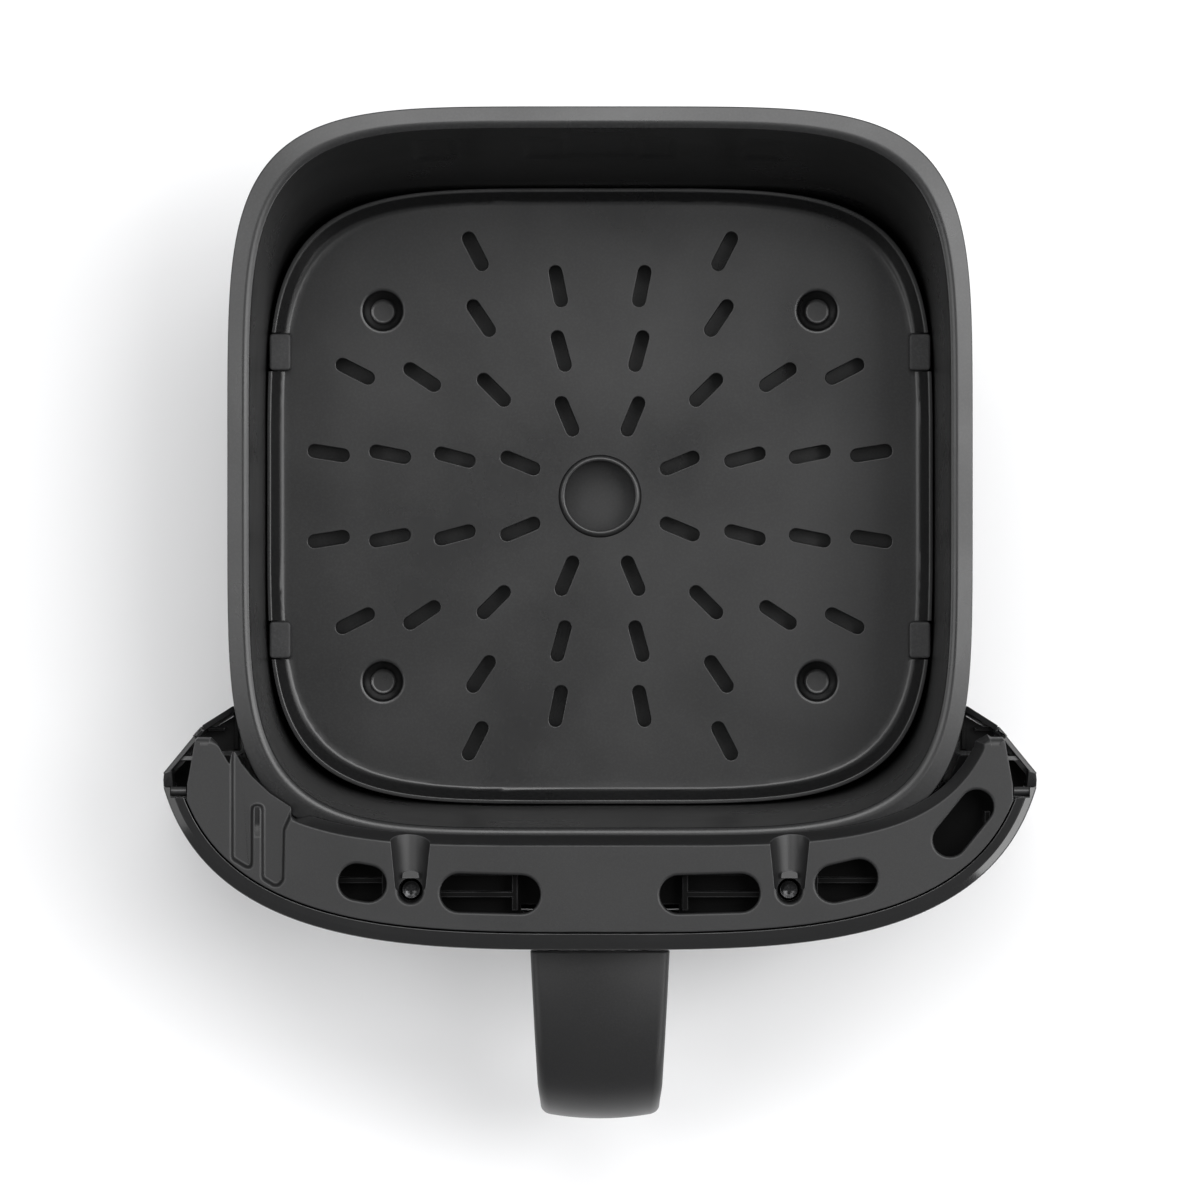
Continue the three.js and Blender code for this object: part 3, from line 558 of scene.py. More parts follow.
def pan_skin(out, floor, top, steps=46):
    """Loops of one skin of the pan from its floor to a height."""
    bend = PAN_CORNER + out
    bend_top = PAN_SHEET + PAN_CORNER
    loops = []
    for share in (0.25, 0.5, 0.75, 0.93):
        curve = pan_curve(bend_top, out - bend)
        ring = super_ring(curve["a"] * share, curve["b"] * share, 2 + 3 * share, curve["y"], RING * 2)
        loops.append(at_height(ring, floor))
    for angle in np.radians(np.linspace(90, 0, 13)):
        z = floor + bend * (1 - math.sin(angle))
        loops.append(pan_loop(bend_top, out - bend * (1 - math.cos(angle)), z))
    for z in np.linspace(bend_top, top, steps)[1:]:
        loops.append(pan_loop(z, out))
    return loops


def lip_loop(half, z):
    return at_height(super_ring(half, half - 0.3, PAN_SQUARE, 0, RING * 2), z)


def lip_section():
    """The lip's section as (half width, height): up its hem, over the sloping top and down to the wall."""
    crest, outer, top, hem = LIP["crest"], LIP["outer"], LIP["top"], LIP["hem"]
    tilt = math.radians(LIP["tilt"])
    turn = math.radians(LIP_ROUND["crest_turn"])
    crest_r, inner_r, edge_r = LIP_ROUND["crest"], LIP_ROUND["inner"], LIP_ROUND["outer"]
    crest_arc = arc(crest, top - crest_r, crest_r, 90 - LIP["tilt"], 90 + LIP_ROUND["crest_turn"], 9)
    start_x, start_z = crest_arc[0]
    touch_x = outer - edge_r + edge_r * math.sin(tilt)
    touch_z = start_z - math.tan(tilt) * (touch_x - start_x)
    edge_arc = arc(outer - edge_r, touch_z - edge_r * math.cos(tilt), edge_r, 0, 90 - LIP["tilt"], 5)
    end_x, end_z = crest_arc[-1]
    centre = (end_x + inner_r * math.sin(turn), end_z - inner_r * math.cos(turn))
    inner_arc = arc(*centre, inner_r, 90 + LIP_ROUND["crest_turn"], 174, 5)
    sheet = PAN_SHEET + 0.3
    under = [(crest - 0.2, top - sheet), (outer - sheet, touch_z - sheet + 0.1), (outer - 1.2, hem + 0.2)]
    under += [(outer - 0.9, hem), (outer - 0.3, hem), (outer, hem + 0.3)]
    return under + edge_arc + crest_arc + inner_arc[1:]


def make_pan():
    lip = [lip_loop(half, z) for half, z in lip_section()]
    loops = pan_skin(PAN_SHEET, 0, LIP["hem"]) + lip + pan_skin(0, PAN_SHEET, PAN_TOP["z"])[::-1]
    pan = stack("pan_shell", loops, LOOKS["nonstick"], 50)
    return place(pan, "drawer", "nonstick", "pan")


# ------------ crisper plate

PLATE_Z = 14
PLATE_SHEET = 1.2
PLATE_TOP = PLATE_Z + PLATE_SHEET
PLATE_RIM = 19
PLATE_SLOT = dict(length=13, width=4)
PLATE_ROWS = [(27, 8), (47, 12), (67, 16), (86, 20)]  # radius of a row of slots, and how many it has
SLOT_CLEARANCE = 8  # from a slot to a leg or to the plate's edge
LEG = dict(x=68, y=58, top=7, foot=4.5)
BUMPER = dict(y=45, half=5.8, out=103.4, inner=96.5, low=12.6, high=19.8)
BUMPER_SEAT = dict(inner=96, through=101.2, outer=106, margin=0.3)


def plate_loop(inset, z):
    return at_height(super_ring(PLATE["a"] - inset, PLATE["b"] - inset, PLATE["n"], PLATE["y"]), z)


def plate_profile():
    """The sheet's profile as (inset, height): under the plate, up the flared rim and down inside it."""
    under = [(6.5, 0), (5, 0), (4, 0.15), (3.2, 0.6), (2.2, 1.6)]
    outside = [(0.3, -1.0), (0, -0.6), (0, -0.3), (0.15, -0.08), (0.5, 0)]
    inside = [(0.9, 0), (1.25, -0.15), (1.5, -0.5)]
    down = [(3.4, 1.2), (4.3, 0.35), (5.2, 0.05), (6.5, 0)]
    profile = [(inset, PLATE_Z + rise) for inset, rise in under]
    profile += [(inset, PLATE_RIM + rise) for inset, rise in outside + inside]
    return profile + [(inset, PLATE_TOP + rise) for inset, rise in down]


def plate_slots():
    edge_a, edge_b = PLATE["a"] - SLOT_CLEARANCE, PLATE["b"] - SLOT_CLEARANCE
    for r, count in PLATE_ROWS:
        for i in range(count):
            angle = 2 * math.pi * (i + 0.5) / count
            x, y = r * math.cos(angle), r * math.sin(angle)
            near_leg = math.hypot(abs(x) - LEG["x"], abs(y) - LEG["y"]) < LEG["top"] + SLOT_CLEARANCE
            reach = 1 + PLATE_SLOT["length"] / 2 / r
            past = abs(x * reach / edge_a) ** PLATE["n"] + abs(y * reach / edge_b) ** PLATE["n"]
            if not near_leg and past <= 1:
                yield stadium(x, y + PLATE["y"], turn=math.degrees(angle), steps=8, **PLATE_SLOT)


def hole_profile(low, high, round_by):
    """Profile of a cutter that leaves rounded rims at both faces of a sheet."""
    steps = [(t, math.sin(t)) for t in np.radians((0, 30, 60, 90))]
    lower = [(round_by * (1 - s), low + round_by * (1 - math.cos(t))) for t, s in steps]
    upper = [(d, high + low - z) for d, z in reversed(lower)]
    return [(round_by, low - 1), *lower, *upper, (round_by, high + 1)]


def leg_shapes(centre):
    """A leg pressed down from the plate, and the cutter of the dimple above it."""
    foot, top = LEG["foot"], LEG["top"]
    outside = [(foot - 0.8, 1.5), (foot, 1.9), (top - 0.4, 12.4), (top + 0.9, 14.3)]
    inside = [(foot - 1.6, 6), (foot - 0.6, 6.6), (top - 1.4, 13.8), (top - 0.6, 14.9)]
    inside += [(top + 0.4, PLATE_TOP + 0.05), (top + 0.5, 17)]
    return lathe("leg", outside, centre), lathe("dimple", inside, centre)


def seat_cutters(side, y):
    """Cutters of a bumper's seat: a step in the plate and a gap through its rim."""
    reach = BUMPER["half"] + BUMPER_SEAT["margin"]
    step = on_side(side, BUMPER_SEAT["inner"], BUMPER_SEAT["outer"])
    gap = on_side(side, BUMPER_SEAT["through"], BUMPER_SEAT["outer"])
    yield block("step", *step, y - reach, y + reach, PLATE_TOP, PLATE_RIM + 1, 0.1)
    yield block("gap", *gap, y - reach, y + reach, PLATE_Z - 1, PLATE_RIM + 1, 0.1)


def make_plate():
    plate = stack("plate_sheet", [plate_loop(d, z) for d, z in plate_profile()], LOOKS["nonstick"])
    legs, cutters = [], []
    for sx in (-1, 1):
        for sy in (-1, 1):
            leg, dimple = leg_shapes((sx * LEG["x"], PLATE["y"] + sy * LEG["y"]))
            legs.append(leg)
            cutters.append(dimple)
            cutters.extend(seat_cutters(sx, PLATE["y"] + sy * BUMPER["y"]))
    plate = unite(plate, *legs)
    plate = cut(plate, *cutters)

    centre = (0, PLATE["y"])
    collar = [(10, PLATE_Z), (11, PLATE_Z), (13.4, PLATE_Z), (13, PLATE_TOP), (12.6, PLATE_TOP + 0.8)]
    collar += [(12, PLATE_TOP + 1.15), (11.4, PLATE_TOP + 1.2), (11, PLATE_TOP + 1.1), (10, PLATE_TOP + 1.1)]
    plate = unite(plate, lathe("collar", collar, centre, 72))
    lift = [(11.4, PLATE_Z - 1), (11.4, PLATE_Z), (11, PLATE_Z + 0.4), (11, PLATE_TOP + 0.7)]
    lift += [(11.15, PLATE_TOP + 1.05), (11.5, PLATE_TOP + 1.2), (11.5, PLATE_TOP + 2)]
    holes = [lathe("lift", lift, centre, 72)]
    holes += [profiled("slot", slot, hole_profile(PLATE_Z, PLATE_TOP, 0.35)) for slot in plate_slots()]
    plate = cut(plate, *holes)
    return place(plate, "crisper", "nonstick", "crisper_plate")


def make_bumpers():
    half, low, high = BUMPER["half"], BUMPER["low"], BUMPER["high"]
    rounding = [(-0.9, 0), (-0.3, 0.3), (0, 0.9)]
    profile = [(out, low + rise) for out, rise in rounding]
    profile += [(out, high - fall) for out, fall in reversed(rounding)]
    for side, sx in (("left", -1), ("right", 1)):
        for end, sy in (("front", -1), ("back", 1)):
            y = PLATE["y"] + sy * BUMPER["y"]
            x0, x1 = on_side(sx, BUMPER["inner"], BUMPER["out"])
            outline = rounded([(x0, y - half), (x1, y - half), (x1, y + half), (x0, y + half)], 1.4, 6)
            bumper = profiled(f"bumper_{side}_{end}", outline, profile, LOOKS["silicone"])
            grip = on_side(sx, BUMPER["inner"] - 2, 101.5)
            cut(bumper, block("grip", *grip, y - 8, y + 8, PLATE_Z - 0.3, PLATE_Z + 1.5, 0.1))
            place(bumper, "crisper", "silicone", f"plate_bumper_{side}_{end}")


# ------------ top cover

COVER_SLOTS = [
    dict(x=33.2, y=-125.7, length=30.3, width=11.5, turn=1.5),
    dict(x=-33.2, y=-125.7, length=30.3, width=11.5, turn=-1.5),
    dict(x=74.5, y=-121.8, length=19.1, width=11.2, turn=13),
    dict(x=-71.8, y=-122.4, length=14.5, width=10.9, turn=-10),
    dict(x=109.8, y=-104.4, length=23.1, width=10.3, turn=51),
]
# Rear corner of the right wing, from the groove's end to the rear curve.
WING_OUTER = [(124.8, -95.7), (124.8, -93)]
WING_END = [(122.4, -79.4), (121.8, -78.5), (117.6, -78.5), (115.7, -80.3)]
RECESS_PAN_EDGE = [(-109.2, -85.1), (-108.5, -86.4), (-105.4, -90.3), (-100, -95.4), (-93.6, -99.6)]
RECESS_TIP = [(-109.9, -83.9), (-110.3, -83.1), (-110.8, -82.8), (-111.3, -83.2)]
NOTCH = (-112, -86.6)
# Where the rear curve meets the recess's edge towards the pan.
INNER_CORNER = [(-93.2, -102.6), (-93.5, -102.2), (-93.5, -101.4), (-93.4, -100.6)]
REAR_CURVE_FROM_X = -92.6
LEAN = dict(x=-93.5, run=6)  # left of x the skirt drops straight down, and past the run it leans out in full
STRIP = dict(x=-103.6, half=0.8, head=-99.2)
RECESS = dict(depth=2, wall_angle=70, fillet=0.9, edge=0.9, corner=1.8)
RECESS_OPEN = [(-111.2, -80), (-108, -80), (-88, -92), (-92.6, -100.2)]  # its open side, beyond the cover
RECESS_FINGERS = [
    (-95.4, -106.4),
    (-95.7, -121.6),
    (-97.2, -123.3),
    (-98.6, -123.3),
    (-102.1, -121.1),
    (-102.1, -99.2),
    (-105.1, -99.2),
    (-105.1, -119),
    (-111.2, -115.1),
]

# Edge profiles as (outward offset, height above the top face), all of one length.
GROOVE_EDGE = [(-0.35, 0), (-0.18, -0.04), (-0.06, -0.14), (0, -0.35), (0, -0.8)]
GROOVE_EDGE += [(0, -1.4), (0, -2), (0, -2.3), (-0.3, -2.6), (-0.6, -2.6)]
REAR_EDGE = [(-0.75, 0), (-0.4, -0.07), (-0.12, -0.27), (0.06, -0.6), (0.8, -2.7)]
REAR_EDGE += [(1.8, -5.2), (2.7, -7.5), (1.5, -7.5), (-0.6, -3.2), (-0.75, -2.6)]
WING_EDGE = [(-2.7, 0), (-1.8, -0.16), (-1.0, -0.42), (-0.4, -0.95), (0, -2.1)]
WING_EDGE += [(0.1, -4), (0.1, -7), (-1.2, -7), (-1.6, -2.8), (-2, -2.6)]
SKIRT_FACE = REAR_EDGE[3:7]  # the part of the rear edge that slopes down over the pan's lip


def cover_outline():
    """The top face's outline, with each point's share of the rear and wing edge profiles."""
    points, rear, wing = [], [], []

    def extend(part, is_rear, is_wing):
        for x, y in part:
            points.append((x, y))
            rear.append(is_rear)
            wing.append(is_wing)

    front = super_arc(FRONT, COVER_FRONT_END_Y, 160)
    extend(front - super_normal(FRONT, front) * (BAND + GROOVE), 0, 0)
    extend(resample(WING_OUTER + WING_END[:1], 1.0), 0, 0)
    extend(resample(WING_END[1:3], 0.5), 0, 1)
    rear_curve = super_arc(COVER_REAR, COVER_REAR_END_Y, 220)[::-1]
    extend([WING_END[3]], 1, 0)
    extend([p for p in rear_curve if p[0] > REAR_CURVE_FROM_X], 1, 0)
    extend(INNER_CORNER, 1, 0)
    extend(resample(RECESS_PAN_EDGE, 1.0)[::-1], 1, 0)
    extend(RECESS_TIP, 0, 0)
    extend(resample([RECESS_TIP[-1], NOTCH, (-WING_END[3][0], WING_END[3][1])], 1.0)[1:], 0, 0)
    extend([(-x, y) for x, y in resample(WING_END[1:3], 0.5)[::-1]], 0, 1)
    extend([(-x, y) for x, y in resample(WING_OUTER + WING_END[:1], 1.0)[::-1]], 0, 0)
    return np.array(points), smooth_ring(rear, 2), smooth_ring(wing, 1)


def resample(points, step):
    """Points along a polyline, about one step apart, its corners kept."""
    made = [points[0]]
    for (x0, y0), (x1, y1) in zip(points, points[1:]):
        count = max(1, round(math.hypot(x1 - x0, y1 - y0) / step))
        made += [(x0 + (x1 - x0) * i / count, y0 + (y1 - y0) * i / count) for i in range(1, count + 1)]
    return made


def smooth_ring(values, rounds):
    """Values round a ring, each blended with its neighbours that many times."""
    v = np.array(values, float)
    for _ in range(rounds):
        v = (np.roll(v, 1) + 2 * v + np.roll(v, -1)) / 4
    return v


def cover_plate():
    outline, rear, wing = cover_outline()
    lean = smoothstep((outline[:, 0] - LEAN["x"]) / LEAN["run"])
    loops = []
    for groove_at, rear_at, wing_at in zip(GROOVE_EDGE, REAR_EDGE, WING_EDGE):
        plain = np.clip(1 - rear - wing, 0, 1)
        out = plain * groove_at[0] + rear * rear_at[0] + wing * wing_at[0]
        out = np.where(out > 0, out * lean, out)
        drop = plain * groove_at[1] + rear * rear_at[1] + wing * wing_at[1]
        loops.append(np.column_stack([offset(outline, out), COVER_TOP + drop]))
    return stack("cover_plate", loops, LOOKS["cover"])


def cone_along_y(name, x, z, ends, steps=72):
    """A solid along Y through (y, radius) ends, centred on x and z."""
    angle = np.arange(steps) * (2 * math.pi / steps)
    loops = []
    for y, r in ends:
        loops.append(np.stack([x + r * np.cos(angle), np.full(steps, y), z + r * np.sin(angle)], 1))
    return stack(name, loops)


def beyond_skirt(x):
    """The space on the pan's side of the cover's sloping skirt, near x, from just inside its sheet."""
    curve = super_arc(COVER_REAR, COVER_REAR_END_Y, 400)
    curve = curve[np.abs(curve[:, 0] - x) < CHANNEL["rear_r"] + 6]
    toward_pan = -super_normal(COVER_REAR, curve)
    slope = [(out - SKIRT_BITE, rise) for out, rise in SKIRT_FACE]
    far, high, low = 16, 4, -12
    section = [(slope[0][0], high), *slope, (slope[-1][0], low), (far, low), (far, high)]
    up = np.broadcast_to([0.0, 0.0, 1.0], (len(curve), 3))
    return sweep("beyond", at_height(curve, COVER_TOP), at_height(toward_pan, 0), up, lambda t: section)


def channel_shell(x):
    """The half funnel under a screwdriver channel, with the boss of its screw well."""
    wall = CHANNEL["wall"]
    ends = [(WELL["y"], CHANNEL["front_r"] + wall), (CHANNEL["rear_y"] + 2, CHANNEL["rear_r"] + wall)]
    shell = cone_along_y("channel_shell", x, COVER_TOP, ends)
    boss_r = WELL["r"] + WELL["wall"]
    shell_top = COVER_TOP - 0.6
    boss = lathe("boss", [(boss_r, WELL["bottom"]), (boss_r, shell_top)], (x, WELL["y"]), 64)
    shell = unite(shell, boss)
    above = block("above", x - 20, x + 20, -140, -90, shell_top, COVER_TOP + 12, 0.01)
    return cut(shell, above, beyond_skirt(x))


def slot_cutter(slot):
    """The cutter of a vent slot, with a softly rounded rim."""
    rim = [(0, 4), (0, 0.9), (0.06, 0.6), (0.2, 0.32), (0.45, 0.12), (0.9, 0)]
    profile = [(out, COVER_TOP - fall) for out, fall in rim] + [(0.9, COVER_TOP + 1)]
    return profiled("slot", stadium(**slot), profile)


def well_cutters(x):
    """Cutters of a screwdriver's channel and of the screw well at its front end."""
    y, r = CHANNEL["front_y"], CHANNEL["front_r"]
    ends = [(y - 1.4, r * 0.78), (y, r), (CHANNEL["rear_y"] + 6, CHANNEL["rear_r"] + 0.7)]
    yield cone_along_y("channel", x, COVER_TOP + 0.1, ends)
    bore, r = WELL["bore"], WELL["r"]
    rim = [(0, 1.1), (0.08, 0.7), (0.28, 0.32), (0.65, 0.1), (1.1, 0)]
    hole = [(bore, WELL["bottom"] - 1), (bore, WELL["seat"]), (r, WELL["seat"])]
    hole += [(r + out, COVER_TOP - fall) for out, fall in rim] + [(r + 1.1, COVER_TOP + 1)]
    yield lathe("well", hole, (x, WELL["y"]), 64)


def channel_ledge(x):
    """The round-nosed ledge between a channel and its well. Its top slopes down towards the pan."""
    dome = [(x - 2.5, -121.1), (x + 2.5, -121.1), (x + 2.3, -119.4), (x, -118.7), (x - 2.3, -119.4)]
    outline = rounded(dome, [0.2, 0.2, 0.9, 1.6, 0.9])
    top = COVER_TOP - 2.4 - 0.25 * (outline[:, 1] + 121.2)
    return stack("ledge", [at_height(outline, COVER_TOP - 6), at_height(outline, top)])


def make_cover():
    well_places = (-WELL["x"], WELL["x"])
    cover = cover_plate()
    cover = unite(cover, *(channel_shell(x) for x in well_places))
    cutters = [slot_cutter(slot) for slot in COVER_SLOTS]
    for x in well_places:
        cutters.extend(well_cutters(x))
    cover = cut(cover, *cutters)
    cover = cut(cover, recess_cutter(), strip_ramp())
    cover = unite(cover, *[channel_ledge(x) for x in well_places])
    return place(cover, "drawer", "cover_plastic", "top_cover")


def recess_profile():
    """Profile of the recess cutter: floor, bottom fillet, steep wall and rounded top edge."""
    wall = math.radians(RECESS["wall_angle"])
    floor = COVER_TOP - RECESS["depth"]
    low_r, high_r = RECESS["fillet"], RECESS["edge"]
    turn = np.linspace(0, wall, 5)
    low = [(low_r * math.sin(t), low_r * (1 - math.cos(t))) for t in turn]
    high = [(high_r * math.sin(t), high_r * (1 - math.cos(t))) for t in turn]
    rise = RECESS["depth"] - low[-1][1] - high[-1][1]
    width = low[-1][0] + high[-1][0] + rise / math.tan(wall)
    inner = -width * 0.55
    profile = [(inner + d, floor + z) for d, z in low]
    profile += [(inner + width - d, COVER_TOP - z) for d, z in reversed(high)]
    return profile + [(inner + width, COVER_TOP + 1)]


def recess_cutter():
    corners = RECESS_OPEN + RECESS_FINGERS
    radii = [0] * len(RECESS_OPEN) + [RECESS["corner"]] * len(RECESS_FINGERS)
    counter_clockwise = rounded(corners[::-1], radii[::-1], 6)
    return profiled("recess", counter_clockwise, recess_profile())


def strip_ramp():
    """The scoop at the head of the strip between the recess's fingers. It rises to the top face in front."""
    x, half, head = STRIP["x"], STRIP["half"], STRIP["head"]
    scoop = [(-0.3, 0.35), (-5, 1.45), (-6.2, 1.35), (-7.2, 1.08), (-8.1, 0.75), (-9, 0.35), (-9.8, 0)]
    rear, front = head + 1.2, head + scoop[-1][0]
    section = [(head + run, COVER_TOP - fall) for run, fall in scoop[::-1]]
    section += [(rear, COVER_TOP - scoop[0][1]), (rear, COVER_TOP + 1), (front, COVER_TOP + 1)]
    return stack("strip_ramp", [np.array([(at, y, z) for y, z in section]) for at in (x - half, x + half)])


# ------------ fascia

FASCIA_LEAN = 3.264  # how far the face stands back at its foot


def fascia_section():
    """Section as (outside the front curve, height), up the face, over the band and down the back."""
    foot = [(-8.5, 3.4), (-8.1, 3), (-6.6, 3), (-5.8, 3.4), (-5.0, 4.6), (-4.3, 7), (-3.6, 13)]
    face = [(-FASCIA_LEAN * (1 - smoothstep((z - 20) / 110)) ** 1.3, z) for z in np.linspace(20, 108, 14)]
    bevel = [(0, 112), (0, 115.55), (-0.04, 115.8), (-0.16, 116.02), (-0.36, 116.18)]
    bevel += [(-2.2, BAND_TOP - 0.13), (-2.32, BAND_TOP - 0.06), (-2.45, BAND_TOP - 0.02), (-2.62, BAND_TOP)]
    inner = [(-BAND + 0.35, BAND_TOP), (-BAND + 0.1, BAND_TOP - 0.1), (-BAND, BAND_TOP - 0.35)]
    flange_low = BAND_TOP - 2.1
    inner += [(-BAND, flange_low), (-2.6, flange_low)]
    back = [(-2.6, 108), (-2.9, 85), (-4.0, 52), (-5.8, 20), (-7.1, 8)]
    return foot + face + bevel + inner + back


def make_fascia():
    curve = super_arc(FRONT, FASCIA_END_Y + 2.5, 200)
    normal = super_normal(FRONT, curve)
    origins = at_height(curve, 0)
    across = at_height(normal, 0)
    up = np.broadcast_to([0.0, 0.0, 1.0], origins.shape)
    section = fascia_section()
    fascia = sweep("fascia_shell", origins, across, up, lambda t: section, LOOKS["fascia"])
    cutters = [block("core_slot", -9.9, 9.9, -144.5, -139, 96.2, 101.4, 0.1)]
    for side in (-1, 1):
        flange_x = on_side(side, 118, 129.9)
        cutters.append(block("flange_end", *flange_x, -96.7, -85, BAND_TOP - 3.5, BAND_TOP + 1, 0.1))
    for side in (-1, 1):
        end_x = on_side(side, 112, 142)
        cutters.append(block("square_end", *end_x, FASCIA_END_Y, FASCIA_END_Y + 9, -5, 125, 0.01))
    fascia = cut(fascia, *cutters)
    return place(fascia, "drawer", "fascia_plastic", "front_fascia")


# ------------ handle

# Depths below the outer face, measured square to it, and radii.
SHELL = dict(seam=-4.6, shoulder=-1.3, crown=1.2, wide=4, tall=3, root_round=0.9, tip_round=2.2)
GRIP = dict(seam=-4.9, low=-13, core_half=9.6, sheet=3.4, corner=4, root_round=0.6, tip_round=1.8)
SINK = 0.6  # how far the outer face sinks for each millimetre that a section's sides draw in
TIP_DRAW = 0.9  # how far the sides draw in round the bend


def handle_path(steps=44, tail=16):
    """Points along the outer face, from the root to the end, with the outward direction at each."""
    reach, drop, n = HANDLE["reach"], HANDLE["drop"], HANDLE["n"]
    origins, normals = [], []
    first = np.radians([0, 0.12, 0.3, 0.55, 0.9, 1.3, 1.75])  # closely spaced round the root's edge
    for angle in math.pi / 2 - np.concatenate([first, np.linspace(0, math.pi / 2, steps + 1)[1:]]):
        c, s = max(0.0, math.cos(angle)), max(0.0, math.sin(angle))
        r = ((c / reach) ** n + (s / drop) ** n) ** (-1 / n)
        x, z = r * c, r * s
        normal = np.array([0, -((x / reach) ** (n - 1)) / reach, ((z / drop) ** (n - 1)) / drop])
        origins.append((0, HANDLE["root_y"] - x, HANDLE["top"] - drop + z))
        normals.append(normal / np.linalg.norm(normal))
    low = HANDLE["top"] - drop - HANDLE["end"]
    for t in np.linspace(0, 1, tail + 1)[1:]:
        lean = 0.16 * t
        origins.append((0, HANDLE["root_y"] - reach + 1.4 * t * t, HANDLE["top"] - drop - low * t))
        normals.append(np.array([0, -math.cos(lean), -math.sin(lean)]))
    return np.array(origins, float), np.array(normals)


def handle_half(reached):
    """Half width at a distance out from the root: a straight taper, then drawn in round the bend."""
    draw = smoothstep((reached - HANDLE["taper_end"]) / (HANDLE["reach"] - HANDLE["taper_end"]))
    return HANDLE["half"] - HANDLE["taper"] * min(reached / HANDLE["taper_end"], 1) - TIP_DRAW * float(draw)


def end_round(away, radius):
    """How far a section shrinks at a distance from an end that is rounded by that radius."""
    if away >= radius:
        return 0.0
    return radius - math.sqrt(max(0.0, radius * radius - (radius - away) ** 2))


def crowned(w, low, high, corner, crown, steps=9):
    """Half a section with a crowned outer face: from the seam at the side to near the middle."""
    wide, tall = corner
    side = [(w, low), (w, high - tall)]
    turn = [
        (w - wide + wide * math.cos(a), high - tall + tall * math.sin(a))
        for a in np.radians(np.linspace(12, 74, steps))
    ]
    start_x, start_v = turn[-1]
    rise = high + crown - start_v
    face = [(start_x * (1 - s), start_v + rise * (1 - (1 - s) ** 2)) for s in (0.2, 0.4, 0.6, 0.8)]
    return side + turn + face


def make_handle():
    origins, normals = handle_path()
    steps = np.linalg.norm(np.diff(origins, axis=0), axis=1)
    along = np.concatenate([[0], np.cumsum(steps)])
    length = float(along[-1])
    across = np.broadcast_to([1.0, 0.0, 0.0], origins.shape)
    last = len(origins) - 1

    def at(t, piece):
        """Half width and end rounding of a piece at a share t of the path's points."""
        i = round(t * last)
        shrink = end_round(along[i], piece["root_round"]) + end_round(length - along[i], piece["tip_round"])
        return handle_half(HANDLE["root_y"] - origins[i][1]) - shrink, shrink

    def outer(t):
        w, shrink = at(t, SHELL)
        shoulder = SHELL["shoulder"] - SINK * shrink
        corner = (SHELL["wide"], SHELL["tall"] - SINK * shrink)
        half = crowned(w, SHELL["seam"], shoulder, corner, SHELL["crown"])
        return half + [(0, shoulder + SHELL["crown"])] + [(-x, v) for x, v in reversed(half)]

    def inner(t):
        w, shrink = at(t, GRIP)
        r = GRIP["corner"]
        bottom = GRIP["low"] + shrink
        right = [(GRIP["core_half"], bottom + GRIP["sheet"]), (GRIP["core_half"], GRIP["seam"])]
        right += [(w, GRIP["seam"]), (w, bottom + r)]
        for a in np.radians((-20, -40, -60, -78)):
            right.append((w - r + r * math.cos(a), bottom + r + r * math.sin(a)))
        right.append((w - r - 0.6, bottom))
        return right + [(-x, v) for x, v in reversed(right)]

    shell = sweep("handle_outer", origins, across, normals, outer, LOOKS["handle"], 40)
    place(shell, "drawer", "fascia_plastic", "handle_outer_shell")
    grip = sweep("handle_inner", origins, across, normals, inner, LOOKS["handle"], 40)
    place(grip, "drawer", "frame_plastic", "handle_inner_shell")


# ------------ end caps

CAP_WALL = [(121.9, -79.1), (131.12, -90.35)]
CAP_CREST = 113
CAP_SHELF = 96
CAP_SHOULDER = 104
BASE_LOW = 3.2
# Faces that look up from below this height, or from inside the rear pocket, take a near-black copy of the cap
# plastic: painted shade down inside the cap.
CAP_SHADED_BELOW = 101
CAP_POCKET = dict(x=119.6, y=-83, leaning_back=-0.2)
CAP_BAR = dict(middle=-94.85, radius=1.45, low=111.4, high=115.6, left=125.25, right=129.8)


def topped(name, outline, low, top_at, edge=0.35):
    """An upright wall over an outline, with a softened top edge. top_at(x, y) is its top's height."""
    def loop(inset, drop):
        ring = offset(outline, -inset)
        return at_height(ring, [top_at(x, y) - drop for x, y in ring])

    turns = np.radians((0, 25, 50, 70, 90))
    rounding = [(edge * (1 - math.cos(a)), edge * (1 - math.sin(a))) for a in turns]
    return stack(name, [at_height(np.asarray(outline, float), low)] + [loop(d, z) for d, z in rounding])


def slab(start, end, thick):
    """Plan outline of a straight wall, its thickness to the left of its run, or to the right if negative."""
    a, b = np.array(start, float), np.array(end, float)
    along = (b - a) / np.linalg.norm(b - a)
    left = np.array([-along[1], along[0]]) * thick
    outline = rounded([a, b, b + left, a + left], 0.2, 2)
    return outline if thick > 0 else outline[::-1]


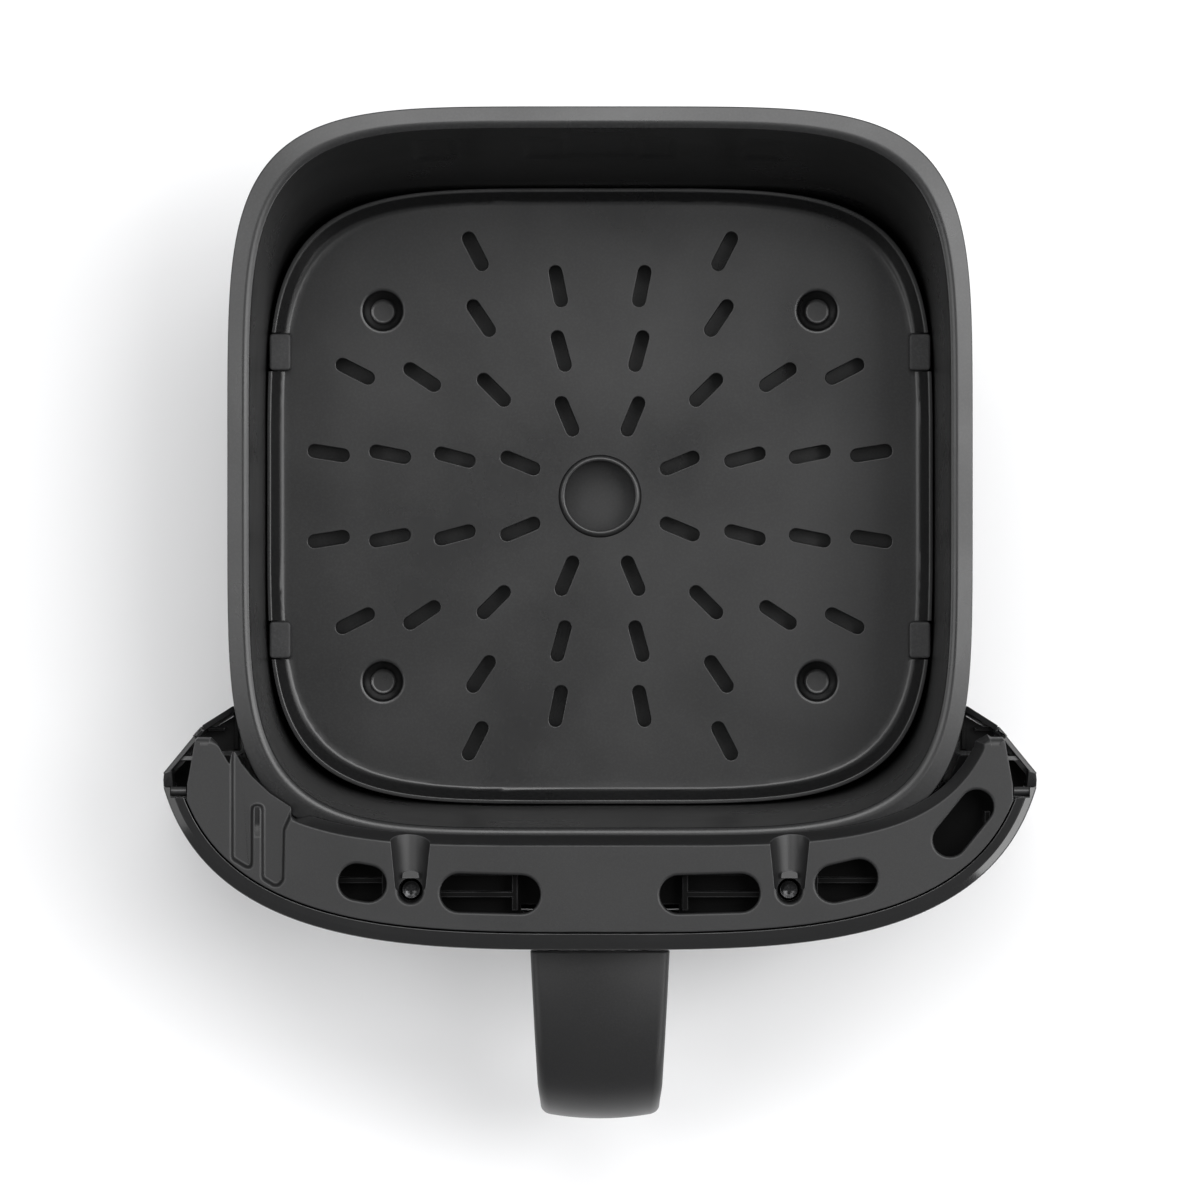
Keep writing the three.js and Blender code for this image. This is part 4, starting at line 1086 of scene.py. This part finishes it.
def cap_parts():
    """Pieces of the right end cap, which are joined into one."""
    (x0, y0), (x1, y1) = CAP_WALL
    length = math.hypot(x1 - x0, y1 - y0)
    out_x, out_y = (y0 - y1) / length, (x1 - x0) / length

    def leaning(x, y):
        """The outer wall's top falls away outwards, so that it sheds light like the pan's lip."""
        return CAP_CREST - 0.24 * ((x - x0) * out_x + (y - y0) * out_y)

    def towards_front(x, y):
        """The rear wall's top leans steeply to the front, from its outer edge."""
        return CAP_SHOULDER + 0.7 * (y + 70.5 + 0.63 * (x - 110.6))

    def rising_back(x, y):
        """The post's top climbs from the fascia's end to the outer wall."""
        return 114 + 0.4 * (y + 90)

    def falling_back(x, y):
        """The rib's top falls away from the bar."""
        return 111.6 - 0.21 * (y + 85.1)

    def level(z):
        return lambda x, y: z

    corner_top = level(CAP_SHOULDER + 4)
    rear_wall = slab((119.9, -76.4), (110.6, -70.5), -1.6)
    side_wall = slab((109.8, -82.5), (109.8, -70.9), -1.6)
    shelf = rounded([(109.4, -82.9), (120.4, -82.9), (121, -79.2), (119.2, -77), (109.4, -71.2)], 0.3, 2)
    shelf_rib = slab((113.8, -75.6), (119.4, -75.6), -1.1)
    floor = rounded([(121.6, -80.6), (129.9, -90.4), (128.4, -94.4), (125.3, -94.4), (124.6, -88)], 0.3, 2)
    post = [(129.2, -93.52), (132.1, -93.52), (132.2, -91.4), (131.95, -89.4), (129.6, -88.6)]
    post = rounded(post, [0.05, 0.05, 0.8, 0.4, 0.1], 4)
    rib = slab((122.9, -85.6), (127.2, -85.6), 1.5)

    yield topped("outer_wall", slab((x1, y1), (x0, y0), -1.5), BASE_LOW, leaning, 0.3)
    yield topped("corner", slab((x0 + 0.4, y0 - 0.2), (119.8, -76.5), -1.7), BASE_LOW, corner_top, 0.7)
    yield topped("rear_wall", rear_wall, BASE_LOW, towards_front, 0.03)
    yield topped("side_wall", side_wall, BASE_LOW, level(CAP_SHELF + 2.6), 0.3)
    yield block("front_wall", 111.2, 120, -82.6, -81, BASE_LOW, CAP_SHELF + 1.6, 0.3)
    yield profiled("shelf", shelf, [(0, CAP_SHELF), (0, CAP_SHELF + 2)])
    yield topped("shelf_rib", shelf_rib, CAP_SHELF + 1, level(102.6), 0.45)
    yield profiled("floor", floor, [(0, CAP_SHELF), (0, CAP_SHELF + 1.6)])
    yield topped("post", post, BASE_LOW, rising_back, 0.2)
    yield topped("rib", rib, CAP_SHELF + 1, falling_back, 0.2)
    yield block("bar_leg", 125.4, 129.8, -95.7, -94, CAP_SHELF, 112.6, 0.15)
    yield bridge_bar()


def bridge_bar():
    """A bar with a half-round top across the fascia's end."""
    middle, radius = CAP_BAR["middle"], CAP_BAR["radius"]
    section = [(middle - radius, CAP_BAR["low"]), (middle + radius, CAP_BAR["low"])]
    section += arc(middle, CAP_BAR["high"] - radius, radius, 0, 180, 14)
    ends = (CAP_BAR["left"], CAP_BAR["right"])
    return stack("bridge_bar", [np.array([(x, y, z) for y, z in section]) for x in ends])


def gets_painted_shade(face):
    """Whether a face of an end cap looks up from down inside it, where it gets painted shade."""
    centre, normal = face.center, face.normal
    beside_pan = abs(centre.x) < CAP_POCKET["x"] * MM and centre.y > CAP_POCKET["y"] * MM
    in_pocket = beside_pan and normal.y > CAP_POCKET["leaning_back"]
    return normal.z > 0.1 and (centre.z < CAP_SHADED_BELOW * MM or in_pocket)


def mirror(mesh):
    """Turns a right-hand mesh into its left-hand twin."""
    bm = bmesh.new()
    bm.from_mesh(mesh)
    bmesh.ops.scale(bm, vec=(-1, 1, 1), verts=bm.verts)
    bmesh.ops.recalc_face_normals(bm, faces=bm.faces)
    bm.to_mesh(mesh)
    bm.free()
    finish_mesh(mesh, CREASE)


def make_end_caps():
    for side in ("right", "left"):
        first, *others = cap_parts()
        cap = unite(first, *others)
        cap.name = f"end_cap_{side}"
        if side == "left":
            mirror(cap.data)
        cap.data.materials.clear()
        cap.data.materials.append(LOOKS["cap"])
        cap.data.materials.append(LOOKS["deep"])
        # Faces down inside the cap take the near-black look: painted shade.
        for face in cap.data.polygons:
            if gets_painted_shade(face):
                face.material_index = 1
        place(cap, "drawer", "frame_plastic", f"{side}_end_cap")


# ------------ housing screws

def make_housing_screws():
    """Screws with a dished head and a cross recess, at the bottom of the two wells."""
    head = WELL["seat"] + 0.3
    shank = [(0.6, head - 12), (1.5, head - 11.5), (1.9, head - 10.4), (1.9, head)]
    rim = [(3.3, head), (3.3, head + 1.7), (3.15, head + 2.2), (2.85, head + 2.5), (2.55, head + 2.58)]
    dish = [(2.3, head + 2.5), (1.9, head + 2.36), (1.3, head + 2.2), (0.4, head + 2.12)]
    for side, x in (("left", -WELL["x"]), ("right", WELL["x"])):
        # The screws take the dark copy of the screw steel: painted shade down in the wells.
        screw = lathe(f"screw_{side}", shank + rim + dish, (x, WELL["y"]), 48, LOOKS["shaded_screw"])
        y, low, high = WELL["y"], head + 1.3, head + 4
        cross = [block("cross", x - 1.5, x + 1.5, y - 0.4, y + 0.4, low, high, 0.05)]
        cross.append(block("cross", x - 0.4, x + 0.4, y - 1.5, y + 1.5, low, high, 0.05))
        cut(screw, *cross)
        place(screw, "drawer", "screw_steel", f"housing_screw_{side}")


# ------------ CAD nodes that stay

def dress_cad_nodes():
    """Materials and fine edge rounding for the CAD nodes that are shown as they are."""
    dress = {
        "pan_bracket": ("steel", 0.15),
        "heat_shield": ("coated_steel", 0),
        # The inner frame's near-black look is painted shade seen through the vent slots.
        "inner_frame": ("frame", 0),
        "base_cover": ("cap", 0.25),
        "handle_core": ("steel", 0.2),
    }
    dress.update({f"handle_screw_{side}": ("screw", 0.15) for side in ("left", "right")})
    dress.update({f"base_screw_{side}": ("screw", 0.12) for side in ("left", "middle", "right")})
    for name, (look, bevel) in dress.items():
        node = NODES[name]
        node.data.materials.clear()
        node.data.materials.append(LOOKS[look])
        if bevel:
            edge = node.modifiers.new("edge", "BEVEL")
            edge.width = bevel * MM
            edge.segments = 2
            edge.limit_method = "ANGLE"
            edge.angle_limit = math.radians(40)


# ------------ stage

RIM_HEIGHT = 0.110
CAMERA_HEIGHT = 2.9  # above the pan's lip
CAMERA_Y = -0.03697
VIEW_WIDTH = 0.3636  # width of the frame at the lip's height
SENSOR = 36

FLOOR_HALF = 4000
FLOOR_Z = -0.15

# Name, place, target, size and power in watts of each soft light, in metres.
LIGHTS = [
    ("back", (0.2, 1.35, 2.8), (0, 0, 0), (2.6, 1.1), 50),
    ("right", (1.45, 0.25, 2.8), (0, 0, 0), (1.0, 1.8), 34),
    ("left", (-1.4, 0.3, 2.8), (0, 0, 0), (1.0, 1.6), 17),
    ("side", (1.9, -0.85, 0.8), (0, -0.1, 0.1), (1.9, 0.45), 16),
    ("low_right", (2.3, 0.3, 1.6), (0, -0.05, 0), (1.6, 1.2), 18),
    ("low_left", (-2.6, -0.4, 1.3), (0, -0.05, 0), (2.2, 1.4), 18),
]


def make_camera():
    data = bpy.data.cameras.new("camera")
    data.sensor_width = SENSOR
    data.lens = SENSOR * CAMERA_HEIGHT / VIEW_WIDTH
    data.clip_start = 0.05
    data.clip_end = 50
    camera = bpy.data.objects.new("camera", data)
    camera.location = (0, CAMERA_Y, RIM_HEIGHT + CAMERA_HEIGHT)
    bpy.context.scene.collection.objects.link(camera)
    bpy.context.scene.camera = camera


def soft_light(name, location, target, size, power):
    data = bpy.data.lights.new(name, "AREA")
    data.shape = "RECTANGLE"
    data.size, data.size_y = size
    data.energy = power
    light = bpy.data.objects.new(name, data)
    light.location = location
    direction = Vector(target) - Vector(location)
    light.rotation_euler = direction.to_track_quat("-Z", "Y").to_euler()
    bpy.context.scene.collection.objects.link(light)


def make_stage():
    corners = [(sx * FLOOR_HALF, sy * FLOOR_HALF, FLOOR_Z) for sx, sy in ((-1, -1), (1, -1), (1, 1), (-1, 1))]
    floor = make_mesh("floor", corners, [(0, 1, 2, 3)])
    paper = bpy.data.materials.new("floor_paper")
    paper.use_nodes = True
    shader = paper.node_tree.nodes["Principled BSDF"]
    shader.inputs["Base Color"].default_value = (0.88, 0.88, 0.885, 1)
    shader.inputs["Roughness"].default_value = 0.9
    shader.inputs["Specular IOR Level"].default_value = 0.1
    floor.data.materials.append(paper)
    floor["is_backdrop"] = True

    world = bpy.data.worlds.new("studio")
    world.use_nodes = True
    background = world.node_tree.nodes["Background"]
    background.inputs["Color"].default_value = (0.985, 0.99, 1, 1)
    background.inputs["Strength"].default_value = 0.4
    bpy.context.scene.world = world

    for light in LIGHTS:
        soft_light(*light)
    bpy.context.scene.view_settings.view_transform = "Standard"


# ------------ build

make_pan()
make_plate()
make_bumpers()
make_cover()
make_fascia()
make_handle()
make_end_caps()
make_housing_screws()
dress_cad_nodes()
make_camera()
make_stage()

boxes = {"cad": CAD_BOX, "visual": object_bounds()}
{name: [list(corner) for corner in pair] for name, pair in boxes.items()}
